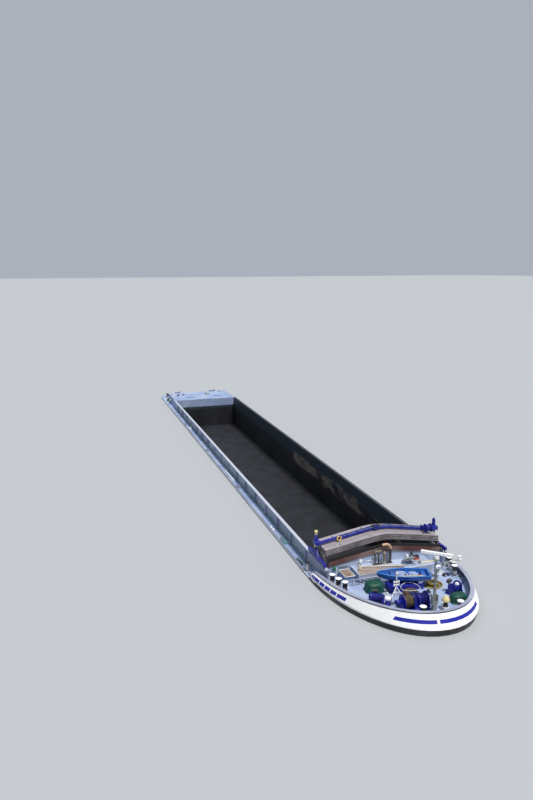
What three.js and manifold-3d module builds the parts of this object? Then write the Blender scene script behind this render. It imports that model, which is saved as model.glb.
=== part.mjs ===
// A river barge: an open hold lighter with a ship-shaped bow, 70 m long and 9.5 m wide,
// modelled at half size. All lengths below are millimetres of the full-size vessel; the
// group that is exported is scaled once, at the end of the file.
// Frame: X points forward, Y to port, Z up. The origin is on the flat bottom, amidships.
// Places along the ship are given as a distance aft of the bow tip, and aft() turns such
// a distance into X.

import * as THREE from 'three';
import { mergeVertices } from 'three/addons/utils/BufferGeometryUtils.js';
import Module from 'manifold-3d';

const wasm = await Module();
wasm.setup();

// Driving dimensions
const MODEL_SCALE = 0.5;
const GAP = 0.3 / MODEL_SCALE;          // touching pieces keep 0.3 mm in the model
const LENGTH = 70000;
const HALF_BEAM = 4750;
const FLOOR_Z = 450;                    // hold floor, top of the double bottom
const SIDE_DECK_Z = 3200;
const FOREDECK_Z = 3500;
const COAMING_Z = 4200;                 // top of the hold coaming and of the gantry rails
const HOLD_FORE = 7800;
const HOLD_AFT = 60500;
const HOLD_HALF = 4000;
const COAMING_WALL = 100;
const AFT_DECK_AFT = 66000;             // aft end of the raised deck behind the hold
const BULWARK_WALL = 80;
const RAIL_FORE = 7300;                 // the gantry rails run forward past the bulkhead

const aft = (distance) => LENGTH / 2 - distance;

// Materials, one for each paint or surface
const paint = (color, roughness, metalness) =>
  new THREE.MeshStandardMaterial({ color, roughness, metalness });
const PAINTS = {
  hullBlack: paint(0x16181b, 0.6, 0.2),
  white: paint(0xe9eaec, 0.45, 0.1),
  railGrey: paint(0xa9a8b0, 0.6, 0.2),
  deckGrey: paint(0x9fb0cc, 0.7, 0.1),
  holdSteel: paint(0x4a3d36, 0.85, 0.4),
  coamingGrey: paint(0xb4bcc8, 0.6, 0.2),
  bulkheadBrown: paint(0x6b3a2c, 0.8, 0.2),
  royalBlue: paint(0x15239a, 0.45, 0.2),
  boatBlue: paint(0x1f7fd6, 0.4, 0.0),
  bollardBlack: paint(0x17181a, 0.5, 0.3),
  coverGrey: paint(0x8a8588, 0.6, 0.5),
  woodBeige: paint(0xcdb9a4, 0.8, 0.0),
  green: paint(0x0c6a52, 0.8, 0.0),
  rope: paint(0xb99a3a, 0.9, 0.0),
  exhaust: paint(0x3b332b, 0.7, 0.5),
  mastGrey: paint(0x7d7f7c, 0.5, 0.5),
  galvanised: paint(0xb9bcc0, 0.5, 0.7),
};

// Shapes

const box = (x0, x1, y0, y1, z0, z1) => {
  const geometry = new THREE.BoxGeometry(Math.abs(x1 - x0), y1 - y0, z1 - z0);
  geometry.translate((x0 + x1) / 2, (y0 + y1) / 2, (z0 + z1) / 2);
  return geometry;
};

// A round bar between two points
const rod = (from, to, radius, sides = 12, endRadius = radius) => {
  const a = new THREE.Vector3(...from);
  const b = new THREE.Vector3(...to);
  const axis = b.clone().sub(a);
  const geometry = new THREE.CylinderGeometry(endRadius, radius, axis.length(), sides);
  const turn = new THREE.Quaternion().setFromUnitVectors(new THREE.Vector3(0, 1, 0), axis.normalize());
  geometry.applyQuaternion(turn);
  const middle = a.add(b).multiplyScalar(0.5);
  geometry.translate(middle.x, middle.y, middle.z);
  return geometry;
};

// An outline in the XY plane drawn out along Z
const plate = (outline, z0, z1) => {
  const shape = new THREE.Shape(outline.map(([x, y]) => new THREE.Vector2(x, y)));
  const geometry = new THREE.ExtrudeGeometry(shape, { depth: z1 - z0, bevelEnabled: false });
  geometry.translate(0, 0, z0);
  return geometry;
};

// An outline of (x, z) drawn out along Y from y0 to y1
const sidePlate = (outline, y0, y1) => {
  const geometry = plate(outline, -y1, -y0);
  geometry.rotateX(Math.PI / 2);
  return geometry;
};

// An outline of (y, z) drawn out along X from x0 to x1
const crossPlate = (outline, x0, x1) => {
  const geometry = plate(outline, x0, x1);
  geometry.rotateX(Math.PI / 2);
  geometry.rotateZ(Math.PI / 2);
  return geometry;
};

// A ring or drum turned about Z, from a closed profile of (radius, z)
const turned = (profile, sides = 24) => {
  const points = profile.map(([r, z]) => new THREE.Vector2(r, z));
  const geometry = new THREE.LatheGeometry(points, sides);
  geometry.rotateX(Math.PI / 2);
  return geometry;
};

// A round tube along a smooth curve through the points
const tube = (points, radius, steps = 12, sides = 8) => {
  const path = new THREE.CatmullRomCurve3(points.map((p) => new THREE.Vector3(...p)));
  const section = [];
  for (let i = 0; i < sides; i += 1) {
    const angle = 2 * Math.PI * i / sides;
    section.push(new THREE.Vector2(radius * Math.cos(angle), radius * Math.sin(angle)));
  }
  return new THREE.ExtrudeGeometry(new THREE.Shape(section), { extrudePath: path, steps, bevelEnabled: false });
};

// The sign of a closed body's volume, which is negative when its faces point inwards
const volumeSign = (positions, index) => {
  const corner = (i) => new THREE.Vector3().fromArray(positions, 3 * index[i]);
  let sum = 0;
  for (let i = 0; i < index.length; i += 3) {
    sum += corner(i).dot(corner(i + 1).cross(corner(i + 2)));
  }
  return Math.sign(sum);
};

// A closed body through rings of points, each ring one outline of the same number of
// points; both end rings are convex and are filled by fans
const loft = (rings) => {
  const count = rings[0].length;
  const positions = rings.flat(2);
  const index = [];
  for (let r = 0; r + 1 < rings.length; r += 1) {
    for (let i = 0; i < count; i += 1) {
      const a = r * count + i;
      const b = r * count + ((i + 1) % count);
      index.push(a, b, b + count, a, b + count, a + count);
    }
  }
  const last = (rings.length - 1) * count;
  for (let i = 1; i + 1 < count; i += 1) {
    index.push(0, i + 1, i, last, last + i, last + i + 1);
  }
  if (volumeSign(positions, index) < 0) {
    index.reverse();
  }
  const geometry = new THREE.BufferGeometry();
  geometry.setAttribute('position', new THREE.Float32BufferAttribute(positions, 3));
  geometry.setIndex(index);
  return geometry;
};

// Joining and cutting

const toSolid = (geometry) => {
  const bare = geometry.clone();
  bare.deleteAttribute('normal');
  bare.deleteAttribute('uv');
  const merged = mergeVertices(bare, 1e-3);
  return new wasm.Manifold(new wasm.Mesh({
    numProp: 3,
    vertProperties: new Float32Array(merged.attributes.position.array),
    triVerts: new Uint32Array(merged.index.array),
  }));
};

const toGeometry = (solid) => {
  const mesh = solid.getMesh();
  const geometry = new THREE.BufferGeometry();
  geometry.setAttribute('position', new THREE.Float32BufferAttribute(mesh.vertProperties, 3));
  geometry.setIndex(new THREE.Uint32BufferAttribute(mesh.triVerts, 1));
  return geometry;
};

const join = (...geometries) =>
  toGeometry(geometries.map(toSolid).reduce((sum, piece) => sum.add(piece)));
const cut = (geometry, ...tools) =>
  toGeometry(tools.map(toSolid).reduce((rest, tool) => rest.subtract(tool), toSolid(geometry)));
const common = (geometry, other) =>
  toGeometry(toSolid(geometry).intersect(toSolid(other)));
const mirrored = (geometry) => {
  const copy = geometry.clone();
  copy.scale(1, -1, 1);
  const order = copy.index.array;
  for (let i = 0; i < order.length; i += 3) {
    [order[i], order[i + 1]] = [order[i + 1], order[i]];
  }
  return copy;
};
const moved = (geometry, x, y, z) => {
  const copy = geometry.clone();
  copy.translate(x, y, z);
  return copy;
};
const turnedAbout = (geometry, angle, x, y) => {
  const copy = geometry.clone();
  copy.translate(-x, -y, 0);
  copy.rotateZ(angle);
  copy.translate(x, y, 0);
  return copy;
};

// The assembly
const barge = new THREE.Group();
const add = (name, geometry, material) => {
  const mesh = new THREE.Mesh(geometry, material);
  mesh.name = name;
  barge.add(mesh);
};
const addPair = (name, starboard, material) => {
  add(`${name}_starboard`, starboard, material);
  add(`${name}_port`, mirrored(starboard), material);
};

// The hull's plan at one height: a rounded bow, straight sides and a cut-off stern.
// The bow is a superellipse, so that it is fuller than a plain half ellipse.
const BOW_POWER = 2.05;
const BOW_STEPS = 14;
const STERN_CHAMFER = 1500;
const bowPoint = (inset, reach, half, side) => {
  const angle = Math.abs(side) * Math.PI / 2;
  const along = 1 - Math.cos(angle) ** (2 / BOW_POWER);
  const across = Math.sin(angle) ** (2 / BOW_POWER);
  return [aft(inset + reach * along), Math.sign(side) * half * across];
};
const planAt = ({ z, inset, reach, half, sternInset }) => {
  const ring = [];
  const sternX = -LENGTH / 2 + sternInset;
  ring.push([sternX, half - 700, z], [sternX, -half + 700, z], [sternX + STERN_CHAMFER, -half, z]);
  for (let i = -BOW_STEPS; i <= BOW_STEPS; i += 1) {
    const [x, y] = bowPoint(inset, reach, half, i / BOW_STEPS);
    ring.push([x, y, z]);
  }
  ring.push([sternX + STERN_CHAMFER, half, z]);
  return ring;
};
// Heights of the hull, from the flat bottom to the deck edge
const HULL_LEVELS = [
  { z: 0, inset: 5600, reach: 7000, half: 4500, sternInset: 5200 },
  { z: 250, inset: 4500, reach: 7000, half: 4720, sternInset: 4300 },
  { z: 800, inset: 3000, reach: 7200, half: HALF_BEAM, sternInset: 2800 },
  { z: 1600, inset: 1500, reach: 7700, half: HALF_BEAM, sternInset: 1100 },
  { z: 2600, inset: 450, reach: 8200, half: HALF_BEAM, sternInset: 0 },
  { z: SIDE_DECK_Z, inset: 250, reach: 8250, half: HALF_BEAM, sternInset: 0 },
  { z: FOREDECK_Z, inset: 180, reach: 8250, half: HALF_BEAM, sternInset: 0 },
];
const wholeHull = loft(HULL_LEVELS.map(planAt));

function addHull() {
  const whole = LENGTH;
  const wide = HALF_BEAM + 100;
  const slab = (fore, back, z0, z1) => box(aft(back), aft(fore), -wide, wide, z0, z1);
  add('bow_section', common(wholeHull, slab(-whole, HOLD_FORE, -1, FOREDECK_Z + 1)), PAINTS.hullBlack);
  const middle = common(wholeHull, slab(HOLD_FORE + GAP, HOLD_AFT - GAP, -1, SIDE_DECK_Z));
  const inner = HOLD_HALF - GAP;
  add('double_bottom', common(middle, box(-whole, whole, -inner, inner, -1, FLOOR_Z)), PAINTS.holdSteel);
  const starboard = common(middle, box(-whole, whole, -wide, -HOLD_HALF, -1, whole));
  addPair('side_tank', starboard, PAINTS.deckGrey);
  add('stern_section', common(wholeHull, slab(HOLD_AFT, whole * 2, -1, SIDE_DECK_Z)), PAINTS.hullBlack);
}

// Hold coamings: plate walls with a flat top flange, on which the gantry runs, outer
// stays down to the side deck, and the ramp from the foredeck to the side deck
const FLANGE = { out: HOLD_HALF + 240, thick: 60 };
const STAY_SPACING = 2950;
function addCoamings() {
  const zFoot = SIDE_DECK_Z + GAP;
  const inner = -HOLD_HALF;
  const outer = inner - COAMING_WALL;
  const parts = [
    box(aft(HOLD_AFT - GAP), aft(HOLD_FORE + GAP), outer, inner, zFoot, COAMING_Z),
    box(aft(HOLD_FORE + 200), aft(RAIL_FORE), outer, inner, FOREDECK_Z + GAP, COAMING_Z),
    box(aft(HOLD_AFT - GAP), aft(RAIL_FORE), -FLANGE.out, inner, COAMING_Z - FLANGE.thick, COAMING_Z),
    sidePlate([
      [aft(9600), zFoot], [aft(HOLD_FORE + GAP), zFoot], [aft(HOLD_FORE + GAP), FOREDECK_Z],
    ], -HALF_BEAM + 100, outer + 20),
  ];
  for (let x = 10800; x < HOLD_AFT - 500; x += STAY_SPACING) {
    parts.push(crossPlate([
      [outer + 20, zFoot], [outer - 230, zFoot], [outer - 100, COAMING_Z - 30], [outer + 20, COAMING_Z - 30],
    ], aft(x) - 20, aft(x) + 20));
  }
  addPair('coaming', join(...parts), PAINTS.coamingGrey);
}

// The hatch covers and the bulkhead before them share one shape: a low gable with a
// rounded ridge, 1 at the middle and 0 at both ends
const RIDGE_ROUND = 0.15;
function gable(share) {
  const fall = Math.hypot(share, RIDGE_ROUND) - RIDGE_ROUND;
  return 1 - fall / (Math.hypot(1, RIDGE_ROUND) - RIDGE_ROUND);
}

// End bulkheads of the hold, and the raised deck behind it. The fore bulkhead rises in
// the middle with the camber of the hatch covers.
const BULKHEAD = { sideZ: 4680, rise: 540, half: 3880, thick: 100 };
function archOutline(half, z0, sideZ, rise, steps = 10) {
  const outline = [[-half, z0], [half, z0]];
  for (let i = 0; i <= steps; i += 1) {
    const y = half * (1 - 2 * i / steps);
    outline.push([y, sideZ + rise * gable(y / half)]);
  }
  return outline;
}
function addBulkheads() {
  const face = aft(HOLD_FORE - BULKHEAD.thick);
  const back = aft(HOLD_FORE);
  const wall = crossPlate(archOutline(BULKHEAD.half, FOREDECK_Z + GAP, BULKHEAD.sideZ, BULKHEAD.rise), back, face);
  const topRail = crossPlate(
    archOutline(BULKHEAD.half, BULKHEAD.sideZ - 480, BULKHEAD.sideZ, BULKHEAD.rise), face - 1, face + 60);
  const lift = BULKHEAD.rise;
  const under = crossPlate(
    archOutline(BULKHEAD.half + 10, BULKHEAD.sideZ - 2000, BULKHEAD.sideZ - 480, lift), face - 2, face + 80);
  add('fore_bulkhead', join(wall, cut(topRail, under)), PAINTS.bulkheadBrown);

  const aftWall = box(aft(HOLD_AFT + 120), aft(HOLD_AFT + GAP), -HOLD_HALF - COAMING_WALL,
    HOLD_HALF + COAMING_WALL, SIDE_DECK_Z + GAP, COAMING_Z);
  const flange = box(aft(HOLD_AFT + 120), aft(HOLD_AFT + GAP), -FLANGE.out, FLANGE.out,
    COAMING_Z - FLANGE.thick, COAMING_Z);
  const trunk = box(aft(AFT_DECK_AFT), aft(HOLD_AFT + 110), -HOLD_HALF - COAMING_WALL, HOLD_HALF + COAMING_WALL,
    SIDE_DECK_Z + GAP, COAMING_Z - FLANGE.thick);
  add('aft_deckhouse', join(aftWall, flange, trunk), PAINTS.deckGrey);
}

// The bulwark round the bow follows the same bow curve, leans inwards and falls to the
// deck edge at its aft ends
const BULWARK_END = 8500;
const BULWARK_STEPS = 36;
function railHeight(distance) {
  const t = Math.min(Math.max((distance - 7900) / 600, 0), 1);
  return FOREDECK_Z + 70 + (730 - 0.079 * distance) * (1 - t * t * (3 - 2 * t));
}
const BULWARK_FOOT = { inset: 180, reach: 8250, half: HALF_BEAM };
const BULWARK_HEAD = { inset: 640, reach: 7850, half: HALF_BEAM - 190 };
// One end of the curve is starboard (-1), the other port (+1); beyond the rounded part
// it runs straight aft
function bulwarkPoint(edge, side, inward) {
  const curved = 0.88;
  const half = edge.half - inward;
  const reach = edge.reach - inward * 0.4;
  const start = edge.inset + inward;
  if (Math.abs(side) <= curved) {
    return bowPoint(start, reach, half, side / curved);
  }
  const run = (Math.abs(side) - curved) / (1 - curved);
  const end = edge.inset + edge.reach;
  return [aft(end + (BULWARK_END - end) * run), Math.sign(side) * half];
}
// A strip that follows the bulwark: section() gives the four corners at one place
function bulwarkStrip(section) {
  const rings = [];
  for (let i = 0; i <= BULWARK_STEPS; i += 1) {
    rings.push(section(-1 + 2 * i / BULWARK_STEPS));
  }
  return loft(rings);
}
function bulwarkSection(side) {
  const [xf, yf] = bulwarkPoint(BULWARK_FOOT, side, 0);
  const [xh, yh] = bulwarkPoint(BULWARK_HEAD, side, 0);
  const [xfi, yfi] = bulwarkPoint(BULWARK_FOOT, side, BULWARK_WALL);
  const [xhi, yhi] = bulwarkPoint(BULWARK_HEAD, side, BULWARK_WALL);
  const top = railHeight(LENGTH / 2 - xh);
  const foot = FOREDECK_Z + GAP;
  return [[xf, yf, foot], [xh, yh, top], [xhi, yhi, top], [xfi, yfi, foot]];
}
const CAP = { wide: 200, thick: 60 };
// The rail's underside shares the bulwark's own top corners, so the two lie face to face
function capSection(side) {
  const [xo, yo] = bulwarkPoint(BULWARK_HEAD, side, -20);
  const [xi, yi] = bulwarkPoint(BULWARK_HEAD, side, CAP.wide);
  const [xh, yh] = bulwarkPoint(BULWARK_HEAD, side, 0);
  const [xhi, yhi] = bulwarkPoint(BULWARK_HEAD, side, BULWARK_WALL);
  const z = railHeight(LENGTH / 2 - xh) + GAP;
  const top = z + CAP.thick;
  return [[xi, yi, top], [xo, yo, top], [xo, yo, z], [xh, yh, z], [xhi, yhi, z], [xi, yi, z]];
}
const STAY_DEPTH = 90;
function bulwarkStay(side) {
  const [xi, yi] = bulwarkPoint(BULWARK_FOOT, side, BULWARK_WALL - 25);
  const [xn, yn] = bulwarkPoint(BULWARK_FOOT, side, BULWARK_WALL + STAY_DEPTH);
  const [xh, yh] = bulwarkPoint(BULWARK_HEAD, side, BULWARK_WALL - 25);
  const top = railHeight(LENGTH / 2 - xh) - 60;
  const foot = FOREDECK_Z + GAP;
  const along = new THREE.Vector3(xn - xi, yn - yi, 0).normalize();
  const across = [-along.y * 20, along.x * 20];
  const corners = [[xi, yi, foot], [xn, yn, foot], [xh + along.x * 60, yh + along.y * 60, top], [xh, yh, top]];
  const ring = (sign) => corners.map(([x, y, z]) => [x + sign * across[0], y + sign * across[1], z]);
  return loft([ring(1), ring(-1)]);
}
function addBulwark() {
  const strip = bulwarkStrip(bulwarkSection);
  const parts = [strip];
  const stays = 16;
  for (let i = 0; i <= stays; i += 1) {
    parts.push(bulwarkStay(0.78 * (-1 + 2 * i / stays)));
  }
  // Past the foredeck the bulwark's ends reach down to the lower side deck
  for (const y of [-4735, 4675]) {
    parts.push(box(aft(BULWARK_END - 10), aft(HOLD_FORE + GAP), y, y + 60, SIDE_DECK_Z + GAP, FOREDECK_Z + 40));
  }
  add('bow_bulwark', join(...parts), PAINTS.white);
  add('bulwark_cap_rail', bulwarkStrip(capSection), PAINTS.railGrey);
}

// Deck edge: a low gunwale bar along the side deck, with the pairs of small bollards
// beside it
const GUNWALE = { y0: HALF_BEAM - 60, y1: HALF_BEAM - 5, high: 90 };
const SIDE_BOLLARDS = [14390, 26410, 38500, 50500];
function addGunwales() {
  const foot = SIDE_DECK_Z + GAP;
  const parts = [
    box(aft(HOLD_AFT - GAP), aft(9650), -GUNWALE.y1, -GUNWALE.y0, foot, foot + GUNWALE.high),
  ];
  for (const x of SIDE_BOLLARDS) {
    parts.push(box(aft(x + 330), aft(x - 330), -GUNWALE.y1, -GUNWALE.y0 + 160, foot, foot + 30));
    for (const offset of [-190, 190]) {
      const y = -GUNWALE.y0 + 60;
      parts.push(rod([aft(x + offset), y, foot + 20], [aft(x + offset), y, foot + 300], 75, 8));
      parts.push(rod([aft(x + offset), y, foot + 290], [aft(x + offset), y, foot + 330], 95, 8));
    }
  }
  addPair('gunwale', join(...parts), PAINTS.coamingGrey);
}

// Bollards on the foredeck and at the stern: posts with wide caps on a welded base
// plate. Columns: name, base plate as [x0, x1, y0, y1], then the posts as [x, y].
const BOLLARD = { radius: 150, high: 640, cap: 200, capThick: 60 };
const BOLLARD_GROUPS = [
  ['bollards_fore', FOREDECK_Z, [5350, 7000, -4200, -3480], [[6700, -4040], [6110, -3890], [5590, -3690]]],
  ['bollards_stern', SIDE_DECK_Z, [67200, 68600, -4150, -3650], [[67550, -3900], [68250, -3900]]],
];
// Columns: name, place aft of the bow tip, y
const BOW_BOLLARDS = [['bow_bollard_starboard', 1650, -790], ['bow_bollard_port', 1580, 1520]];
function bollardPost(x, y, z) {
  return join(
    rod([x, y, z + 20], [x, y, z + BOLLARD.high], BOLLARD.radius, 12),
    rod([x, y, z + BOLLARD.high - 10], [x, y, z + BOLLARD.high + BOLLARD.capThick], BOLLARD.cap, 12),
  );
}
function addBollards() {
  for (const [name, deck, [x0, x1, y0, y1], posts] of BOLLARD_GROUPS) {
    const z = deck + GAP;
    const base = box(aft(x1), aft(x0), y0, y1, z, z + 40);
    addPair(name, join(base, ...posts.map(([x, y]) => bollardPost(aft(x), y, z))), PAINTS.bollardBlack);
  }
  const z = FOREDECK_Z + GAP;
  const half = 240;
  for (const [name, x, y] of BOW_BOLLARDS) {
    const base = box(aft(x + half), aft(x - half), y - half, y + half, z, z + 40);
    add(name, join(base, bollardPost(aft(x), y, z)), PAINTS.bollardBlack);
  }
}

// Winches: a bed plate with two bearing stands, and a drum that turns between them
const AXLE_RADIUS = 60;
const STAND_THICK = 90;
function stand(x, y, z, high, long) {
  return sidePlate([
    [x - long / 2, z], [x + long / 2, z], [x + long / 5, z + high], [x - long / 5, z + high],
  ], y - STAND_THICK / 2, y + STAND_THICK / 2);
}
// A drum about Y between two flanges, with its axle stubs
function drum(x, y0, y1, z, radius, flange, stub) {
  const rim = 50;
  const profile = [
    [0, y0 - stub], [AXLE_RADIUS, y0 - stub], [AXLE_RADIUS, y0], [flange, y0],
    [flange, y0 + rim], [radius, y0 + rim], [radius, y1 - rim], [flange, y1 - rim],
    [flange, y1], [AXLE_RADIUS, y1], [AXLE_RADIUS, y1 + stub], [0, y1 + stub],
  ];
  const geometry = turned(profile, 14);
  geometry.rotateX(-Math.PI / 2);
  geometry.translate(x, 0, z);
  return geometry;
}
// The stands have a bore for the axle with some play
function bored(geometry, x, z, y0, y1) {
  const play = AXLE_RADIUS + 14;
  return cut(geometry, rod([x, y0, z], [x, y1, z], play, 14));
}
// A kind of winch: axle height over the deck, drum and flange radius, bed length, width
const WINDLASS = { axle: 500, radius: 260, flange: 410, long: 900, wide: 860 };
const MOORING = { axle: 420, radius: 190, flange: 300, long: 760, wide: 860 };
// Columns: name, kind, deck height, place aft of the bow tip, y of the middle, turn
const WINCHES = [
  ['windlass_starboard', WINDLASS, FOREDECK_Z, 2800, -1130, 0],
  ['windlass_port', WINDLASS, FOREDECK_Z, 2800, -240, 0],
  ['mooring_winch_starboard', MOORING, FOREDECK_Z, 3820, -2520, -0.45],
  ['mooring_winch_port', MOORING, FOREDECK_Z, 3600, 2450, 0.45],
  ['coupling_winch_starboard', MOORING, SIDE_DECK_Z, 67900, -2550, 0],
  ['coupling_winch_port', MOORING, SIDE_DECK_Z, 67900, 2550, 0],
];
const DRUM_PLAY = 20;
function addWinches() {
  for (const [name, kind, deck, place, y, turn] of WINCHES) {
    const z = deck + GAP;
    const x = aft(place);
    const axleZ = z + kind.axle;
    const half = kind.wide / 2;
    const bed = box(x - kind.long / 2, x + kind.long / 2, y - half, y + half, z, z + 60);
    const stands = [-1, 1].map((side) =>
      stand(x, y + side * (half - STAND_THICK / 2), z + 50, kind.axle + 110, kind.long * 0.8));
    const frame = bored(join(bed, ...stands), x, axleZ, y - half - 50, y + half + 50);
    const drumHalf = half - STAND_THICK - DRUM_PLAY;
    const barrel = drum(x, y - drumHalf, y + drumHalf, axleZ, kind.radius, kind.flange, 90);
    add(`${name}_frame`, turnedAbout(frame, turn, x, y), PAINTS.royalBlue);
    add(`${name}_drum`, turnedAbout(barrel, turn, x, y), PAINTS.royalBlue);
  }
}

// Power pack casing between the windlass and the dinghy
const CASING = { x0: 4620, x1: 5480, y0: -1150, y1: 1000, high: 330, lid: 40 };
function addCasing() {
  const z = FOREDECK_Z + GAP;
  const { x0, x1, y0, y1, high, lid } = CASING;
  const body = box(aft(x1), aft(x0), y0, y1, z, z + high);
  const top = box(aft(x1 + 30), aft(x0 - 30), y0 - 30, y1 + 30, z + high - 1, z + high + lid);
  add('power_pack_casing', join(body, top), PAINTS.royalBlue);
}

// The engine trunk stands before the bulkhead. A small hatch on it has its lid open, and
// the store hatch beside it has a lid that lies shut.
const TRUNK = { x0: 6400, x1: HOLD_FORE - 100 - GAP, y0: -2400, y1: 2750, high: 550 };
const ENGINE_HATCH = { x0: 6620, x1: 7180, y0: 880, y1: 1560, deep: 400, coaming: 90, wall: 50 };
const ENGINE_LID = { thick: 45, over: 20, gap: 12, open: 0.7 };
const STORE_HATCH = { x0: 6620, x1: 7560, y0: -3220, y1: -2600, high: 400, wall: 60 };
const STORE_LID = { thick: 50, over: 30, gap: 12 };
function addTrunk() {
  const foot = FOREDECK_Z + GAP;
  const top = foot + TRUNK.high;
  const body = box(aft(TRUNK.x1), aft(TRUNK.x0), TRUNK.y0, TRUNK.y1, foot, top);
  const { x0, x1, y0, y1, deep, coaming, wall } = ENGINE_HATCH;
  const edge = box(aft(x1), aft(x0), y0, y1, top - 1, top + coaming);
  const well = box(aft(x1 - wall), aft(x0 + wall), y0 + wall, y1 - wall, top - deep, top + coaming + 1);
  add('engine_trunk', cut(join(body, edge), well), PAINTS.woodBeige);

  const { thick, over, gap, open } = ENGINE_LID;
  const hingeX = aft(x1);
  const hingeZ = top + coaming + gap;
  const lid = box(0, x1 - x0 + over, y0 - over, y1 + over, 0, thick);
  lid.rotateY(-open);
  add('engine_hatch_lid', moved(lid, hingeX, 0, hingeZ), PAINTS.woodBeige);
}
function addStoreHatch() {
  const z = FOREDECK_Z + GAP;
  const { x0, x1, y0, y1, high, wall } = STORE_HATCH;
  const outer = box(aft(x1), aft(x0), y0, y1, z, z + high);
  const inner = box(aft(x1 - wall), aft(x0 + wall), y0 + wall, y1 - wall, z + wall, z + high + 10);
  add('store_hatch_coaming', cut(outer, inner), PAINTS.deckGrey);
  const { thick, over, gap } = STORE_LID;
  const lidZ = z + high + gap;
  const lid = box(aft(x1), aft(x0 - over), y0 - over, y1 + over, lidZ, lidZ + thick);
  add('store_hatch_lid', lid, PAINTS.bulkheadBrown);
}

// The dinghy lies athwart on two chocks, turned a little, keel down and open
const DINGHY = { x: 5330, y: -40, length: 3200, beam: 1230, deep: 420, keel: 460, turn: -0.27, skin: 45 };
function dinghyRing(scaleLength, scaleBeam, z) {
  const ring = [];
  const steps = 28;
  for (let i = 0; i < steps; i += 1) {
    const angle = 2 * Math.PI * i / steps;
    const c = Math.cos(angle);
    const s = Math.sin(angle);
    ring.push([
      scaleBeam * DINGHY.beam / 2 * Math.sign(c) * Math.abs(c) ** 0.9,
      scaleLength * DINGHY.length / 2 * Math.sign(s) * Math.abs(s) ** 0.9,
      z,
    ]);
  }
  return ring;
}
function addDinghy() {
  const z = FOREDECK_Z + DINGHY.keel;
  const outer = loft([
    dinghyRing(0.7, 0.55, z), dinghyRing(0.84, 0.8, z + 120), dinghyRing(0.95, 0.95, z + 280),
    dinghyRing(1, 1, z + DINGHY.deep),
  ]);
  const skin = 2 * DINGHY.skin;
  const inL = 1 - skin / DINGHY.length;
  const inB = 1 - skin / DINGHY.beam;
  const inner = loft([
    dinghyRing(0.68 * inL, 0.5 * inB, z + DINGHY.skin), dinghyRing(0.83 * inL, 0.78 * inB, z + 130),
    dinghyRing(0.95 * inL, 0.93 * inB, z + 285), dinghyRing(inL, inB, z + DINGHY.deep + 1),
  ]);
  const thwarts = [-600, 600].map((y) =>
    box(-DINGHY.beam / 2 + 90, DINGHY.beam / 2 - 90, y - 130, y + 130, z + 250, z + 285));
  const hull = join(cut(outer, inner), ...thwarts);
  const x = aft(DINGHY.x);
  add('dinghy', turnedAbout(moved(hull, x, DINGHY.y, 0), DINGHY.turn, x, DINGHY.y), PAINTS.boatBlue);
  // Two chocks on the casing, each with a leg behind it, and a tie along the deck
  const deck = FOREDECK_Z + GAP;
  const rest = deck + CASING.high + CASING.lid + GAP;
  const behind = aft(CASING.x1 + 50);
  const chocks = [-650, 650].flatMap((y) => [
    box(behind - 300, aft(CASING.x0 + 250), y - 50, y + 50, rest, z - GAP),
    box(behind - 300, behind, y - 50, y + 50, deck, z - GAP),
  ]);
  const tie = box(behind - 300, behind - 180, -690, 690, deck, deck + 60);
  add('dinghy_chocks', join(...chocks, tie), PAINTS.holdSteel);
}

// A deck ladder stowed on edge before the trunk, rails and rungs in one piece
const LADDER = { x: 6290, y0: -3020, y1: -950, wide: 360, rail: 60, thick: 40, rungs: 9 };
function addLadder() {
  const z = FOREDECK_Z + GAP;
  const x = aft(LADDER.x);
  const { y0, y1, wide, rail, thick, rungs } = LADDER;
  const parts = [0, wide - rail].map((dz) => box(x - thick / 2, x + thick / 2, y0, y1, z + dz, z + dz + rail));
  for (let i = 0; i < rungs; i += 1) {
    const y = y0 + (y1 - y0) * (i + 0.5) / rungs;
    parts.push(box(x - 15, x + 15, y - 20, y + 20, z + 20, z + wide - 20));
  }
  add('deck_ladder', join(...parts), PAINTS.galvanised);
}

// Exhaust and vent pipes stand on a foot plate on the trunk: a thick pipe with a bend
// over to starboard, and two thin ones
const EXHAUST = { x: 7440, thickRadius: 90, thinRadius: 50 };
function addExhaust() {
  const z = FOREDECK_Z + TRUNK.high + 2 * GAP;
  const x = aft(EXHAUST.x);
  const foot = box(x - 110, x + 110, -1000, 350, z, z + 30);
  const thick = tube([
    [x, 200, z + 10], [x, 200, z + 500], [x, 200, z + 950], [x, 110, z + 1190], [x, -110, z + 1290], [x, -380, z + 1300],
  ], EXHAUST.thickRadius, 14, 10);
  const thin = [-600, -850].map((y) => tube([
    [x, y, z + 10], [x, y, z + 500], [x, y, z + 980], [x, y + 60, z + 1090], [x, y + 170, z + 1110],
  ], EXHAUST.thinRadius, 10, 8));
  add('exhaust_pipes', join(foot, thick, ...thin), PAINTS.exhaust);
}

// The gangway is stowed on edge on the trunk, a little askew: a plank with a broad end
const GANGWAY = { x: 6700, y: -760, length: 2850, thick: 90, high: 250, endWide: 240, endLong: 160, turn: -0.24 };
function addGangway() {
  const z = FOREDECK_Z + TRUNK.high + 2 * GAP;
  const { y, length, thick, high, endWide, endLong, turn } = GANGWAY;
  const x = aft(GANGWAY.x);
  const plank = box(x - thick / 2, x + thick / 2, y - length / 2, y + length / 2, z + 20, z + 20 + high);
  const end = box(x - endWide / 2, x + endWide / 2, y - length / 2, y - length / 2 + endLong, z, z + high);
  const shoe = box(x - endWide / 2, x + endWide / 2, y + length * 0.3, y + length * 0.3 + 80, z, z + 60);
  add('gangway', turnedAbout(join(plank, end, shoe), turn, x, y), PAINTS.woodBeige);
}

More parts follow.
